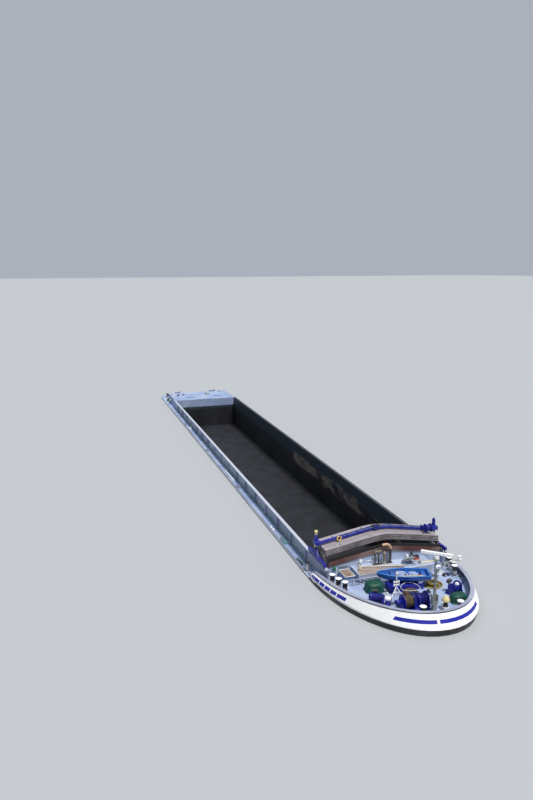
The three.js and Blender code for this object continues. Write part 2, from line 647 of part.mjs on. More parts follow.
// White signal tripod before the power pack casing
const TRIPOD = { x: 4440, y: -950, head: 520, top: 1300, leg: 30, foot: 60, post: 32 };
function addTripod() {
  const z = FOREDECK_Z + GAP;
  const x = aft(TRIPOD.x);
  const { y } = TRIPOD;
  const head = z + TRIPOD.head;
  const feet = [[140, -330], [140, 330], [-70, 0]];
  const legs = feet.map(([dx, dy]) => rod([x + dx, y + dy, z + 20], [x, y, head], TRIPOD.leg, 8));
  const pads = feet.map(([dx, dy]) => rod([x + dx, y + dy, z], [x + dx, y + dy, z + 25], TRIPOD.foot, 10));
  const post = rod([x, y, head - 60], [x, y, z + TRIPOD.top], TRIPOD.post, 10);
  const arms = [610, 800].map((dz) => box(x - 30, x + 30, y - 150, y + 150, z + dz, z + dz + 60));
  add('signal_tripod', join(...legs, ...pads, post, ...arms), PAINTS.white);
}

// The mast hinges aft on a tabernacle. It carries the crosstree with its lamps, and the
// radar scanner, which turns.
const MAST = { x: 2000, y: 100, foot: 950, top: 3200, radius: 85, tree: 2900, arm: 3120 };
const RADAR = { half: 860, turn: -0.69, wide: 180, high: 130 };
function addMast() {
  const z = FOREDECK_Z + GAP;
  const x = aft(MAST.x);
  const { y } = MAST;
  const hinge = z + MAST.foot;
  const base = box(x - 220, x + 220, y - 260, y + 260, z, z + 40);
  const pillar = box(x - 110, x + 110, y - 110, y + 110, z + 30, hinge - 250);
  const cheeks = [-1, 1].map((side) => box(x - 110, x + 110, y + side * 150 - 30, y + side * 150 + 30,
    hinge - 420, hinge + 130));
  const web = box(x - 110, x + 110, y - 170, y + 170, hinge - 420, hinge - 260);
  const stop = rod([x, y - 175, hinge], [x, y + 175, hinge], 30, 16);
  const tabernacle = join(base, pillar, web, ...cheeks);
  const bore = rod([x, y - 400, hinge], [x, y + 400, hinge], 42, 20);
  add('mast_tabernacle', cut(tabernacle, bore), PAINTS.mastGrey);

  const top = z + MAST.top;
  const tubePart = rod([x, y, hinge - 190], [x, y, top], MAST.radius, 12, MAST.radius * 0.75);
  const treeZ = z + MAST.tree;
  const tree = rod([x, y - 120, treeZ], [x, y + 1500, treeZ + 60], 30, 10);
  const arm = rod([x, y, z + MAST.arm], [x, y - 1100, z + MAST.arm], 30, 10);
  const brace = rod([x, y, treeZ - 480], [x, y + 760, treeZ], 22, 8);
  const lamps = [[1450, treeZ + 40, 210], [420, treeZ + 10, -120], [-1050, z + MAST.arm - 20, 150]].map(([dy, lampZ, high]) =>
    rod([x, y + dy, lampZ], [x, y + dy, lampZ + high], 75, 12));
  const horn = rod([x, y + 60, treeZ - 260], [x + 320, y + 60, treeZ - 300], 40, 12, 110);
  const platform = rod([x, y, top - 30], [x, y, top + 40], 190, 16);
  add('mast', join(tubePart, stop, tree, arm, brace, ...lamps, horn, platform), PAINTS.mastGrey);

  const motorZ = top + 40 + GAP;
  add('radar_gearbox', join(
    rod([x, y, motorZ], [x, y, motorZ + 160], 150, 16),
    rod([x, y, motorZ + 150], [x, y, motorZ + 200], 60, 12),
  ), PAINTS.white);
  const barZ = motorZ + 200 + 20;
  const bar = box(x - RADAR.wide / 2, x + RADAR.wide / 2, y - RADAR.half, y + RADAR.half, barZ, barZ + RADAR.high);
  const hub = rod([x, y, barZ - 5], [x, y, barZ + 60], 80, 12);
  add('radar_bar', turnedAbout(join(bar, hub), RADAR.turn, x, y), PAINTS.white);
}

// Green tarpaulins over small gear, a rope coil on deck and one on a round tub
const COIL = { deckX: 4950, deckY: 1800, outer: 420, inner: 150 };
const TUB = { x: 3880, y: -260, radius: 420, rim: 500, high: 300, coil: 470 };
const GREEN_COVERS = [
  { name: 'green_cover_starboard', x: 5330, y: -1930, long: 860, wide: 1000, high: 560 },
  { name: 'green_cover_port', x: 2720, y: 2130, long: 640, wide: 920, high: 460 },
];
function addSoftGear() {
  const z = FOREDECK_Z + GAP;
  for (const cover of GREEN_COVERS) {
    const ring = (scale, dz) => {
      const corners = [];
      for (let i = 0; i < 12; i += 1) {
        const angle = 2 * Math.PI * (i + 0.5) / 12;
        const c = Math.cos(angle);
        const s = Math.sin(angle);
        corners.push([
          aft(cover.x) + scale * cover.long / 2 * Math.sign(c) * Math.abs(c) ** 0.6,
          cover.y + scale * cover.wide / 2 * Math.sign(s) * Math.abs(s) ** 0.6,
          z + dz,
        ]);
      }
      return corners;
    };
    add(cover.name, loft([ring(1, 0), ring(0.97, cover.high * 0.7), ring(0.7, cover.high)]), PAINTS.green);
  }
  const coil = (x, y, base, outer, inner, high) => moved(
    turned([[inner, 0], [outer, 0], [outer, high], [inner, high], [inner, 0]], 24), aft(x), y, base);
  add('rope_coil_deck', coil(COIL.deckX, COIL.deckY, z, COIL.outer, COIL.inner, 190), PAINTS.rope);
  add('rope_tub', moved(turned([[0, 0], [TUB.radius, 0], [TUB.rim, TUB.high], [0, TUB.high]], 20),
    aft(TUB.x), TUB.y, z), PAINTS.holdSteel);
  add('rope_coil_tub', coil(TUB.x, TUB.y, z + TUB.high + GAP, TUB.coil, COIL.inner, 110), PAINTS.rope);
}

// Hatch covers: a stack of arched plates over the fore end of the hold, nested on the
// lowest one, whose end frames stand on the rails
const COVER = { fore: 8000, aft: 9700, half: 3960, z: 4740, rise: 600, thick: 105, count: 4 };
function coverBand(z0, z1) {
  const steps = 12;
  const outline = [];
  const height = (y) => COVER.rise * gable(y / COVER.half);
  for (let i = 0; i <= steps; i += 1) {
    const y = -COVER.half + 2 * COVER.half * i / steps;
    outline.push([y, z0 + height(y)]);
  }
  for (let i = steps; i >= 0; i -= 1) {
    const y = -COVER.half + 2 * COVER.half * i / steps;
    outline.push([y, z1 + height(y)]);
  }
  return crossPlate(outline, aft(COVER.aft), aft(COVER.fore));
}
function coverEndFrames() {
  const frames = [];
  for (const side of [-1, 1]) {
    const y = side * (COVER.half + 15);
    for (const x of [COVER.fore + 60, COVER.aft - 180]) {
      frames.push(box(aft(x + 120), aft(x), y - 75, y + 75, COAMING_Z + GAP, COVER.z + 40));
    }
    frames.push(box(aft(COVER.aft - 60), aft(COVER.fore + 60), y - 40, y + 40, COVER.z - 160, COVER.z + 20));
  }
  return frames;
}
function addCovers() {
  for (let i = 0; i < COVER.count; i += 1) {
    const z = COVER.z + i * (COVER.thick + GAP);
    const plateBand = coverBand(z, z + COVER.thick);
    const geometry = i === 0 ? join(plateBand, ...coverEndFrames()) : plateBand;
    add(`hatch_cover_${i + 1}`, geometry, PAINTS.coverGrey);
  }
}

// Gantry for the hatch covers: an end carriage on each rail with its wheels and guide
// post, and the arched lifting beam that slides on the posts
const GANTRY = { x: 9030, bar0: 7420, bar1: 10230, y0: 4120, y1: 4270, bar: 200, post: 1660, wheel: 70 };
const BEAM = { z: 5230, rise: 600, flat: 550, deep: 180, wide: 200, ahead: 230, thinY: -2950, thin: 60 };
const REEL = { y: 3150, ahead: 680, above: 400, axle: 40, hub: 120, flange: 270, wide: 420, rim: 35 };
function addGantry() {
  const rail = COAMING_Z + GAP;
  const barZ = rail + GANTRY.wheel * 2 - 20;
  const x = aft(GANTRY.x);
  const parts = [
    box(aft(GANTRY.bar1), aft(GANTRY.bar0), -GANTRY.y1, -GANTRY.y0, barZ, barZ + GANTRY.bar),
    box(x - 90, x + 90, -GANTRY.y1, -GANTRY.y0, barZ + 10, rail + GANTRY.post),
    rod([x, -4195, rail + GANTRY.post - 10], [x, -4195, rail + GANTRY.post + 90], 75, 12),
    sidePlate([[x + 80, barZ + 10], [x + 620, barZ + 10], [x + 80, barZ + 620]], -GANTRY.y1 + 30, -GANTRY.y0 - 30),
  ];
  for (const wheelX of [GANTRY.bar0 + 250, GANTRY.bar1 - 250]) {
    parts.push(rod([aft(wheelX), -GANTRY.y1 + 20, rail + GANTRY.wheel],
      [aft(wheelX), -GANTRY.y0 - 20, rail + GANTRY.wheel], GANTRY.wheel, 16));
    parts.push(box(aft(wheelX) - 60, aft(wheelX) + 60, -GANTRY.y1 + 20, -GANTRY.y0 - 20,
      rail + GANTRY.wheel, barZ + 20));
  }
  addPair('gantry_carriage', join(...parts), PAINTS.royalBlue);

  const play = 14;
  const half = GANTRY.y0 - 40;
  // Two straight runs fall from a flat middle part; the starboard end is thinner
  const height = (y) => BEAM.rise * Math.min(1, (half - Math.abs(y)) / (half - BEAM.flat));
  const low = (y) => BEAM.z + height(y);
  const outline = [
    [-half, low(-half) + BEAM.thin], [BEAM.thinY, low(BEAM.thinY) + BEAM.thin], [BEAM.thinY, low(BEAM.thinY)],
    ...[-BEAM.flat, BEAM.flat, half].map((y) => [y, low(y)]),
    ...[half, BEAM.flat, -BEAM.flat, -half].map((y) => [y, low(y) + BEAM.deep]),
  ];
  const front = x + BEAM.ahead;
  const arch = crossPlate(outline, front - BEAM.wide / 2, front + BEAM.wide / 2);
  const collars = [-1, 1].map((side) => {
    const y0 = side > 0 ? GANTRY.y0 - 120 : -GANTRY.y1 - 70;
    const y1 = side > 0 ? GANTRY.y1 + 70 : -GANTRY.y0 + 120;
    const block = box(x - 170, front + BEAM.wide / 2, y0, y1, BEAM.z - 10, BEAM.z + 240);
    const hole = box(x - 90 - play, x + 90 + play, side > 0 ? GANTRY.y0 - play : -GANTRY.y1 - play,
      side > 0 ? GANTRY.y1 + play : -GANTRY.y0 + play, BEAM.z - 50, BEAM.z + 300);
    return cut(block, hole);
  });
  const clamp = box(front - 150, front + 150, -380, -20, BEAM.z + BEAM.rise + 10, BEAM.z + BEAM.rise + BEAM.deep + 60);
  const ringY = -2800;
  const ringZ = BEAM.z + height(ringY) + 120;
  const ring = rod([front + 90, ringY, ringZ], [front + 180, ringY, ringZ], 165, 20);
  const reelX = x + REEL.ahead;
  const reelZ = BEAM.z + REEL.above;
  const bracketY = REEL.y - 70;
  const bracket = cut(
    box(front, reelX + 80, bracketY - 28, bracketY + 28, BEAM.z + height(bracketY) + 40, reelZ + 90),
    rod([reelX, bracketY - 60, reelZ], [reelX, bracketY + 60, reelZ], REEL.axle + play, 20));
  add('lift_beam', join(arch, ...collars, clamp, ring, bracket), PAINTS.royalBlue);

  const { axle, hub, flange, wide, rim } = REEL;
  const reel = turned([
    [0, -110], [axle, -110], [axle, 0], [flange, 0], [flange, rim], [hub, rim],
    [hub, wide - rim], [flange, wide - rim], [flange, wide], [0, wide],
  ], 20);
  reel.rotateX(-Math.PI / 2);
  reel.translate(reelX, REEL.y, reelZ);
  add('cable_reel', reel, PAINTS.royalBlue);
}

addHull();
addCoamings();
addBulkheads();
addBulwark();
addGunwales();
addBollards();
addWinches();
addCasing();
addTrunk();
addStoreHatch();
addDinghy();
addLadder();
addGangway();
addExhaust();
addTripod();
addMast();
addSoftGear();
addCovers();
addGantry();

barge.scale.setScalar(MODEL_SCALE);
barge.updateMatrixWorld(true);
export default barge;
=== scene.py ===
# %% [markdown]
# # A river barge
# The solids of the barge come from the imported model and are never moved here. This
# script gives them their paint and steel, puts the fine gear on the foredeck, and swaps
# the plain solids of soft or thin things for detailed pieces that stand in the same place.
# The model is half the size of the real vessel, so every place below is written in
# metres of the real vessel and halved by one function.

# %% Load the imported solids
import math

import bmesh
import bpy
from mathutils import Matrix, Vector, noise


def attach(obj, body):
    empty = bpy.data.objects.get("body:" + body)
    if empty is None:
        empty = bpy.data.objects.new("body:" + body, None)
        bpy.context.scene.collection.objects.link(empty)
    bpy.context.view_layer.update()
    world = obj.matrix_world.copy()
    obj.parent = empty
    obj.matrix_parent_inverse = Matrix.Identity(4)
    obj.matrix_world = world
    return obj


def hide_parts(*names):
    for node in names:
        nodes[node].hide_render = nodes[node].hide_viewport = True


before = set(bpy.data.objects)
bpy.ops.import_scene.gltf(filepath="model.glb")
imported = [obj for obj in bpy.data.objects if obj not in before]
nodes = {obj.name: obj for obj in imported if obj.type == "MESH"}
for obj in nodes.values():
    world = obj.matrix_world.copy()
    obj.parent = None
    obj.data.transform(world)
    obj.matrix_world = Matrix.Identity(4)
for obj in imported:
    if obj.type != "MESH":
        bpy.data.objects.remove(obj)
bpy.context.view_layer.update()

# %% Places on the vessel
SCALE = 0.5
LENGTH = 70.0
WATERLINE = 3.08
FOREDECK = 3.5
SIDE_DECK = 3.2
TRUNK_TOP = FOREDECK + 0.55
DATUM = 2.6
AHEAD = (1, 0, 0)
PORT = (0, 1, 0)
UP = (0, 0, 1)
FULL_TURN = 2 * math.pi


def ship(aft, port, up):
    """The point so far aft of the bow tip, to port of the middle and above the flat bottom."""
    return Vector(((LENGTH / 2 - aft) * SCALE, port * SCALE, up * SCALE))


def at(aft, port, height):
    """The same in real metres from amidships, with the height over the datum."""
    return Vector((LENGTH / 2 - aft, port, DATUM + height))


print("the bow tip on the waterline is at", [round(v, 3) for v in ship(0, 0, WATERLINE)])

# %% [markdown]
# ## Camera
# The view is from high above the starboard bow. The lens and the direction come from
# matching the parallel edges of the coamings and the known beam of the vessel.

# %% Camera
camera_data = bpy.data.cameras.new("camera")
camera_data.lens = 30.59
camera_data.clip_end = 2000.0
camera = bpy.data.objects.new("camera", camera_data)
bpy.context.scene.collection.objects.link(camera)
camera.location = (31.66, -9.602, 11.3945)
LOOK = Vector((-0.9341, 0.2936, -0.2028))
camera.rotation_mode = "QUATERNION"
camera.rotation_quaternion = LOOK.to_track_quat("-Z", "Y")
bpy.context.scene.camera = camera
print("camera height above the waterline", round(camera.location.z - WATERLINE * SCALE, 2), "m")

# %% [markdown]
# ## Writing materials as sums
# A procedural finish is a small formula. To keep it readable, one class wraps a socket
# and gives it the ordinary operators, so `1 - mask` adds a Math node. The second class
# is the finish itself: it owns the node tree, makes any other node with one method, and
# knows where a point lies on the real vessel.

# %% Sockets that can be added and multiplied
class Signal:
    """A socket of a finish. Arithmetic on it adds Math nodes."""

    def __init__(self, finish, socket):
        self.finish = finish
        self.socket = socket

    def math(self, operation, first, second=0.0):
        return self.finish.node("ShaderNodeMath", {"operation": operation}, {0: first, 1: second})

    def __add__(self, other):
        return self.math("ADD", self, other)

    def __radd__(self, other):
        return self.math("ADD", other, self)

    def __sub__(self, other):
        return self.math("SUBTRACT", self, other)

    def __rsub__(self, other):
        return self.math("SUBTRACT", other, self)

    def __mul__(self, other):
        return self.math("MULTIPLY", self, other)

    def __rmul__(self, other):
        return self.math("MULTIPLY", other, self)

    def __truediv__(self, other):
        return self.math("DIVIDE", self, other)

    def __gt__(self, other):
        return self.math("GREATER_THAN", self, other)

    def __lt__(self, other):
        return self.math("LESS_THAN", self, other)

    def __abs__(self):
        return self.math("ABSOLUTE", self)

    def between(self, low, high):
        """1 where the value lies between two numbers."""
        return (self > low) * (self < high)

    def output(self, name):
        """Another output of the same node."""
        return Signal(self.finish, self.socket.node.outputs[name])


print("sockets can be added, subtracted, multiplied, divided and compared")

# %% A finish
def paint(code):
    """A colour from its usual six-digit web code."""
    parts = [int(code[i:i + 2], 16) / 255 for i in (0, 2, 4)]
    linear = [p / 12.92 if p <= 0.04045 else ((p + 0.055) / 1.055) ** 2.4 for p in parts]
    return (*linear, 1.0)


class Finish:
    """A material being written. Aft, port and height are in metres of the real vessel."""

    def __init__(self, name, roughness):
        self.material = bpy.data.materials.new(name)
        self.material.use_nodes = True
        self.tree = self.material.node_tree
        self.shader = self.tree.nodes["Principled BSDF"]
        self.shader.inputs["Roughness"].default_value = roughness
        coordinates = self.node("ShaderNodeTexCoord", output="Object")
        scaling = {"Vector": coordinates, "Scale": 1 / SCALE}
        self.place = self.node("ShaderNodeVectorMath", {"operation": "SCALE"}, scaling)
        axes = self.node("ShaderNodeSeparateXYZ", {}, {"Vector": self.place})
        self.aft = LENGTH / 2 - axes
        self.port = axes.output("Y")
        self.height = axes.output("Z")
        facing = self.node("ShaderNodeSeparateXYZ", {}, {"Vector": coordinates.output("Normal")})
        self.facing_fore = facing
        self.facing_port = facing.output("Y")
        self.facing_up = facing.output("Z")

    def node(self, kind, settings=None, values=None, output=0):
        """Any node: its settings are set first, then the values or links of its sockets."""
        made = self.tree.nodes.new(kind)
        for key, value in (settings or {}).items():
            setattr(made, key, value)
        for key, value in (values or {}).items():
            self.put(made.inputs[key], value)
        return Signal(self, made.outputs[output])

    def put(self, socket, value):
        if isinstance(value, Signal):
            self.tree.links.new(value.socket, socket)
        else:
            socket.default_value = value

    def mix(self, mask, first, second):
        """The first colour where the mask is 0, the second where it is 1."""
        values = {0: mask, 6: first, 7: second}
        return self.node("ShaderNodeMix", {"data_type": "RGBA"}, values, output=2)

    def step(self, value, low, high):
        """0 below low, 1 above high and a smooth rise between them."""
        values = {"Value": value, "From Min": low, "From Max": high}
        return self.node("ShaderNodeMapRange", {"interpolation_type": "SMOOTHSTEP"}, values)

    def noise(self, size, detail=4.0, stretch=(1, 1, 1)):
        """Cloudy noise whose blots are about size metres across, longer where stretched."""
        scale = tuple(1 / (size * s) for s in stretch)
        place = self.node("ShaderNodeVectorMath", {"operation": "MULTIPLY"}, {0: self.place, 1: scale})
        return self.node("ShaderNodeTexNoise", {}, {"Vector": place, "Scale": 1.0, "Detail": detail})

    def lines(self, value, spacing, width):
        """1 on thin lines that repeat along a value."""
        phase = self.node("ShaderNodeMath", {"operation": "PINGPONG"}, {0: value, 1: spacing / 2})
        return 1 - self.step(phase, width * 0.35, width * 0.65)

    def done(self, colour, relief, depth=0.003, roughness=None):
        """Links colour, relief (its depth in real metres) and roughness, and gives the material."""
        self.put(self.shader.inputs["Base Color"], colour)
        if roughness is not None:
            self.put(self.shader.inputs["Roughness"], roughness)
        values = {"Height": relief, "Distance": depth * SCALE, "Strength": 1.0}
        self.put(self.shader.inputs["Normal"], self.node("ShaderNodeBump", {}, values))
        return self.material


RUST = paint("6b3a22")
GRIME = paint("2b2826")


def weather(finish, code, spots, grime, shift, size=1.0):
    """Weathered paint and its rust: it fades in patches, dirt runs down and rust comes through."""
    colour = paint(code)
    faded = finish.mix(shift, colour, (0.8, 0.8, 0.8, 1))
    deep = finish.mix(shift * 1.2, colour, (0.02, 0.02, 0.03, 1))
    patches = finish.step(finish.noise(2.2 * size), 0.35, 0.65)
    body = finish.mix(patches, deep, faded)
    runs = finish.step(finish.noise(0.28 * size, 5, (1, 1, 4)), 0.56, 0.78)
    body = finish.mix(runs * (0.55 * grime), body, GRIME)
    rust = finish.step(finish.noise(0.5 * size, 8, (1, 1, 1.6)), 0.70 - 0.06 * spots, 0.76)
    return finish.mix(rust * (0.75 * spots), body, RUST), rust


def steel_paint(name, code, roughness, spots, grime, shift, size=1.0):
    """One weathered paint all over."""
    finish = Finish(name, roughness)
    body, rust = weather(finish, code, spots, grime, shift, size)
    return finish.done(body, finish.noise(0.05, 3) + rust * 0.6, roughness=roughness + 0.3 * rust)


print("rust is the colour", [round(c, 3) for c in RUST[:3]])

# %% [markdown]
# ## Building pieces
# Gear on a ship's deck is made of a few things: plates with eased edges, round bars that
# bend, and turned parts. One small class collects such shapes in real metres about a
# seat on the deck, each with its finish, and hands them over as one piece on one body.
# A bar and a turned part are both rings of points with a skin over them, so one function
# makes the skin.

# %% A piece under construction
# An edge is drawn sharp from this angle on. A rope's strands turn once in so many thicknesses.
SHARP_EDGE = math.radians(38)
ROPE_LAY = 4.5


def skin(part, rings, ends=True):
    """Faces from ring to ring of vertices and over both ends. A ring may be one vertex."""
    for one, two in zip(rings, rings[1:]):
        for s in range(max(len(one), len(two))):
            round_the_face = ((one, s), (one, s + 1), (two, s + 1), (two, s))
            corners = [ring[k % len(ring)] for ring, k in round_the_face]
            part.faces.new(list(dict.fromkeys(corners)))
    for ring in (rings[0][::-1], rings[-1]):
        if ends and len(ring) > 1:
            part.faces.new(ring)


class Work:
    """Shapes about a seat on the vessel: x forward, y to port, z up, in real metres."""

    def __init__(self, aft=LENGTH / 2, port=0.0, up=0.0, turn=0.0):
        turned = Matrix.Rotation(turn, 4, "Z")
        self.seat = Matrix.Translation(ship(aft, port, up)) @ turned @ Matrix.Scale(SCALE, 4)
        self.mesh = bmesh.new()
        self.finishes = []

    def take(self, other, finish):
        """Adds the faces of another bmesh in that finish."""
        if finish not in self.finishes:
            self.finishes.append(finish)
        for face in other.faces:
            face.material_index = self.finishes.index(finish)
            face.smooth = True
        carrier = bpy.data.meshes.new("carrier")
        other.to_mesh(carrier)
        other.free()
        self.mesh.from_mesh(carrier)
        bpy.data.meshes.remove(carrier)

    def block(self, finish, low, high, edge=0.012, turn=None):
        """A plate or box with eased edges; turn is a matrix about its own middle."""
        size = [max(b - a, 0.004) for a, b in zip(low, high)]
        middle = Vector([(a + b) / 2 for a, b in zip(low, high)])
        part = bmesh.new()
        bmesh.ops.create_cube(part, size=1.0)
        for vertex in part.verts:
            vertex.co = Vector(c * s for c, s in zip(vertex.co, size))
        eased = min(edge, min(size) * 0.3)
        bmesh.ops.bevel(part, geom=part.edges[:], offset=eased, segments=2, affect="EDGES", profile=0.5)
        turned = (turn or Matrix.Identity(3)).to_4x4()
        part.transform(Matrix.Translation(middle) @ turned)
        self.take(part, finish)

    def boxes(self, rows, edge):
        """Blocks from rows of finish, aft, port, height, half sizes along x and y, full height."""
        for finish, aft, port, height, x, y, z in rows:
            low = at(aft, port, height)
            self.block(finish, low - Vector((x, y, 0)), low + Vector((x, y, z)), edge)

    def bar(self, finish, path, radius, sides=10, laid=False):
        """A round bar or pipe along points. A laid one is a rope of three strands."""
        points = [Vector(p) for p in path]
        part = bmesh.new()
        rings = []
        across = None
        gone = 0.0
        for i, point in enumerate(points):
            before = points[max(i - 1, 0)]
            along = (points[min(i + 1, len(points) - 1)] - before).normalized()
            if across is None:
                across = along.orthogonal().normalized()
            across = (across - along * across.dot(along)).normalized()
            beside = along.cross(across)
            gone += (point - before).length
            twist = FULL_TURN * gone / (ROPE_LAY * 2 * radius)
            ring = []
            for s in range(sides):
                angle = FULL_TURN * s / sides
                reach = radius * (0.9 + 0.12 * math.cos(3 * (angle - twist))) if laid else radius
                offset = across * math.cos(angle) + beside * math.sin(angle)
                ring.append(part.verts.new(point + offset * reach))
            rings.append(ring)
        skin(part, rings)
        self.take(part, finish)

    def turned(self, finish, foot, profile, sides=24, axis=UP):
        """A body turned about an axis; the profile is (radius, along the axis) pairs."""
        part = bmesh.new()
        facing = Vector(axis).normalized().to_track_quat("Z", "Y").to_matrix().to_4x4()
        rings = []
        for radius, along in profile:
            angles = [FULL_TURN * s / sides for s in range(sides if radius else 1)]
            corners = [(radius * math.cos(a), radius * math.sin(a), along) for a in angles]
            rings.append([part.verts.new(corner) for corner in corners])
        skin(part, rings)
        part.transform(Matrix.Translation(Vector(foot)) @ facing)
        self.take(part, finish)

    def sweep(self, finish, rings):
        """A closed skin through rings of points."""
        part = bmesh.new()
        skin(part, [[part.verts.new(Vector(p)) for p in ring] for ring in rings])
        bmesh.ops.recalc_face_normals(part, faces=part.faces[:])
        self.take(part, finish)

    def piece(self, name, slot, body="root", replaces=()):
        """Closes the work: one object in the row frame, riding on its body."""
        self.mesh.transform(self.seat)
        mesh = bpy.data.meshes.new(name)
        self.mesh.to_mesh(mesh)
        self.mesh.free()
        for finish in self.finishes:
            mesh.materials.append(finish)
        mesh.set_sharp_from_angle(angle=SHARP_EDGE)
        made = bpy.data.objects.new(name, mesh)
        bpy.context.scene.collection.objects.link(made)
        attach(made, body)
        if replaces:
            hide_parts(*replaces)
        return made


def arc(middle, radius, start, end, steps, first=AHEAD, second=PORT):
    """Points on an arc about the middle, from the first direction towards the second."""
    points = []
    for i in range(steps + 1):
        angle = math.radians(start + (end - start) * i / steps)
        offset = Vector(first) * math.cos(angle) + Vector(second) * math.sin(angle)
        points.append(Vector(middle) + offset * radius)
    return points


print("a quarter ring ends at", [round(v, 3) for v in arc((0, 0, 0), 1, 0, 90, 8)[-1]])

# %% [markdown]
# ## Ropes
# A mooring rope has three strands laid round each other. Here the tube's own section has
# three lobes that turn along the line, so the lay of the rope is real shape. The coil on
# the deck and the one in the tub are flat coils in layers: each layer winds in, climbs
# one rope's thickness and winds out again.

# %% Rope finish and the line of a coil
def rope_finish(name, code, dark):
    finish = Finish(name, 0.9)
    fibres = finish.noise(0.02, 3)
    dirt = finish.step(finish.noise(0.16, 4), 0.42, 0.66)
    body = finish.mix(finish.step(fibres, 0.3, 0.7), paint(dark), paint(code))
    return finish.done(finish.mix(dirt * 0.5, body, paint("3a3027")), fibres, 0.002)


GOLD_ROPE = rope_finish("gold_rope", "a08c36", "4a3c18")
BROWN_ROPE = rope_finish("brown_rope", "7d6a4c", "43382a")
YELLOW_ROPE = rope_finish("yellow_rope", "d9c24a", "8f7d2c")


def smoothly(t):
    t = min(max(t, 0.0), 1.0)
    return t * t * (3 - 2 * t)


def flat_coil(inner, outer, thick, layers, steps=64):
    """The line of a rope wound in flat layers on the deck, starting outside at the bottom."""
    pitch = thick * 1.05
    turns = int((outer - inner - thick) / pitch)
    points = []
    for layer in range(layers):
        for k in range(turns * steps + (layer == layers - 1)):
            t = k / steps
            radius = outer - thick / 2 - pitch * (turns - t if layer % 2 else t)
            climb = smoothly((t - turns + 0.5) / 0.5) if layer < layers - 1 else 0.0
            angle = FULL_TURN * t
            radius += 0.12 * thick * math.sin(3 * angle + 1.3 * layer)
            up = thick / 2 + thick * 1.03 * (layer + climb)
            points.append((radius * math.cos(angle), radius * math.sin(angle), up))
    return points


print("a small coil has", len(flat_coil(0.15, 0.46, 0.050, 2)), "points on its line")

# %% The coil on the deck and the coil in the tub
def lay_cord(name, finish, seat, path, thick, node):
    """A free rope with a whipped end, laid along the path at the given thickness."""
    work = Work(*seat)
    work.bar(finish, path, thick / 2, 9, laid=True)
    made = work.piece(name, "rope", replaces=[node])
    end = Work(*seat)
    tip = Vector(path[-1])
    along = (tip - Vector(path[-3])).normalized()
    end.bar(YELLOW_ROPE, [tip - along * 0.05, tip + along * 0.03], thick * 0.58, 12)
    knot = end.piece(name + "_whipping", "rope")


DECK_COIL = (4.95, 1.8, FOREDECK + 0.002)
TUB = (3.88, -0.26, FOREDECK + 0.302)
lay_cord("deck_coil", GOLD_ROPE, DECK_COIL, flat_coil(0.15, 0.42, 0.046, 4), 0.046, "rope_coil_deck")
lay_cord("tub_coil", BROWN_ROPE, TUB, flat_coil(0.15, 0.46, 0.050, 2), 0.050, "rope_coil_tub")

# %% [markdown]
# ## Paints of the big solids
# One hull carries several paints: black outside, a pale blue-grey deck, and a hold that
# years of work have scoured and stained. The paint is chosen by where a point lies and
# which way its surface faces, as a painter would mask it. The white of the bow has a
# blue stripe half way up, with a white break near the stem that is a painted highlight. The
# fore bulkhead has a near-black strip at its upper edge, a painted shadow of the covers over
# it, brown below that and blue-grey at its foot.

# %% Hull, decks and hold
def deck_colour(finish):
    """Pale blue-grey, worn paler where it is walked on."""
    body, rust = weather(finish, "92a6cc", 0.35, 0.45, 0.12)
    worn = finish.step(finish.noise(1.1, 6), 0.52, 0.72)
    return finish.mix(worn * 0.3, body, paint("b7c3da")), rust


def hold_colour(finish):
    """Dark scoured plates, bluer at the top, with a long worn patch on the port wall."""
    plates = finish.lines(finish.aft, 2.95, 0.05) * 0.5
    dust = finish.step(finish.noise(1.6, 6, (1, 1, 2)), 0.35, 0.65)
    body = finish.mix(dust, paint("0e1018"), paint("1b1e29"))
    scour = finish.step(finish.noise(0.35, 7, (3, 1, 1)), 0.58, 0.78)
    body = finish.mix(scour * 0.35, body, paint("3d3838"))
    upper = finish.step(finish.height + 0.5 * finish.noise(1.2), 3.0, 3.3)
    body = finish.mix(upper * 0.8, body, paint("2a3a48"))
    worn = finish.step(finish.noise(0.9, 9, (2.5, 1, 1)), 0.44, 0.62)
    worn = worn * (1 - finish.step(abs(finish.height - 2.7), 0.3, 0.75))
    worn = worn * finish.aft.between(11.0, 36.0) * (finish.port > 0.0)
    body = finish.mix(worn * 0.7, body, paint("8d8279"))
    return finish.mix(plates, body, paint("17151a"))


STRIPE_BLUE = paint("111b96")


def stripe_mask(finish):
    """The blue stripe half way up the white, with dashes at starboard, a bare place there, and a white
    break near the stem that is a painted highlight.
    """
    middle = 3.8925 - 0.0515 * finish.aft
    along = abs(finish.height - middle) < 0.092
    starboard = finish.port < 0.0
    gaps = finish.lines(finish.aft - 5.31, 0.63, 0.08)
    dashes = 1 - gaps * starboard * finish.aft.between(4.9, 7.5)
    bare = starboard * finish.aft.between(1.66, 4.50)
    # a white break in the stripe just starboard of the stem: a painted highlight down the stem
    stem = abs(finish.port + 0.545) < 0.075
    ends = (finish.aft < 8.3) * (starboard + (1 - starboard) * (finish.aft < 1.8))
    return along * dashes * (1 - bare) * (1 - stem) * ends


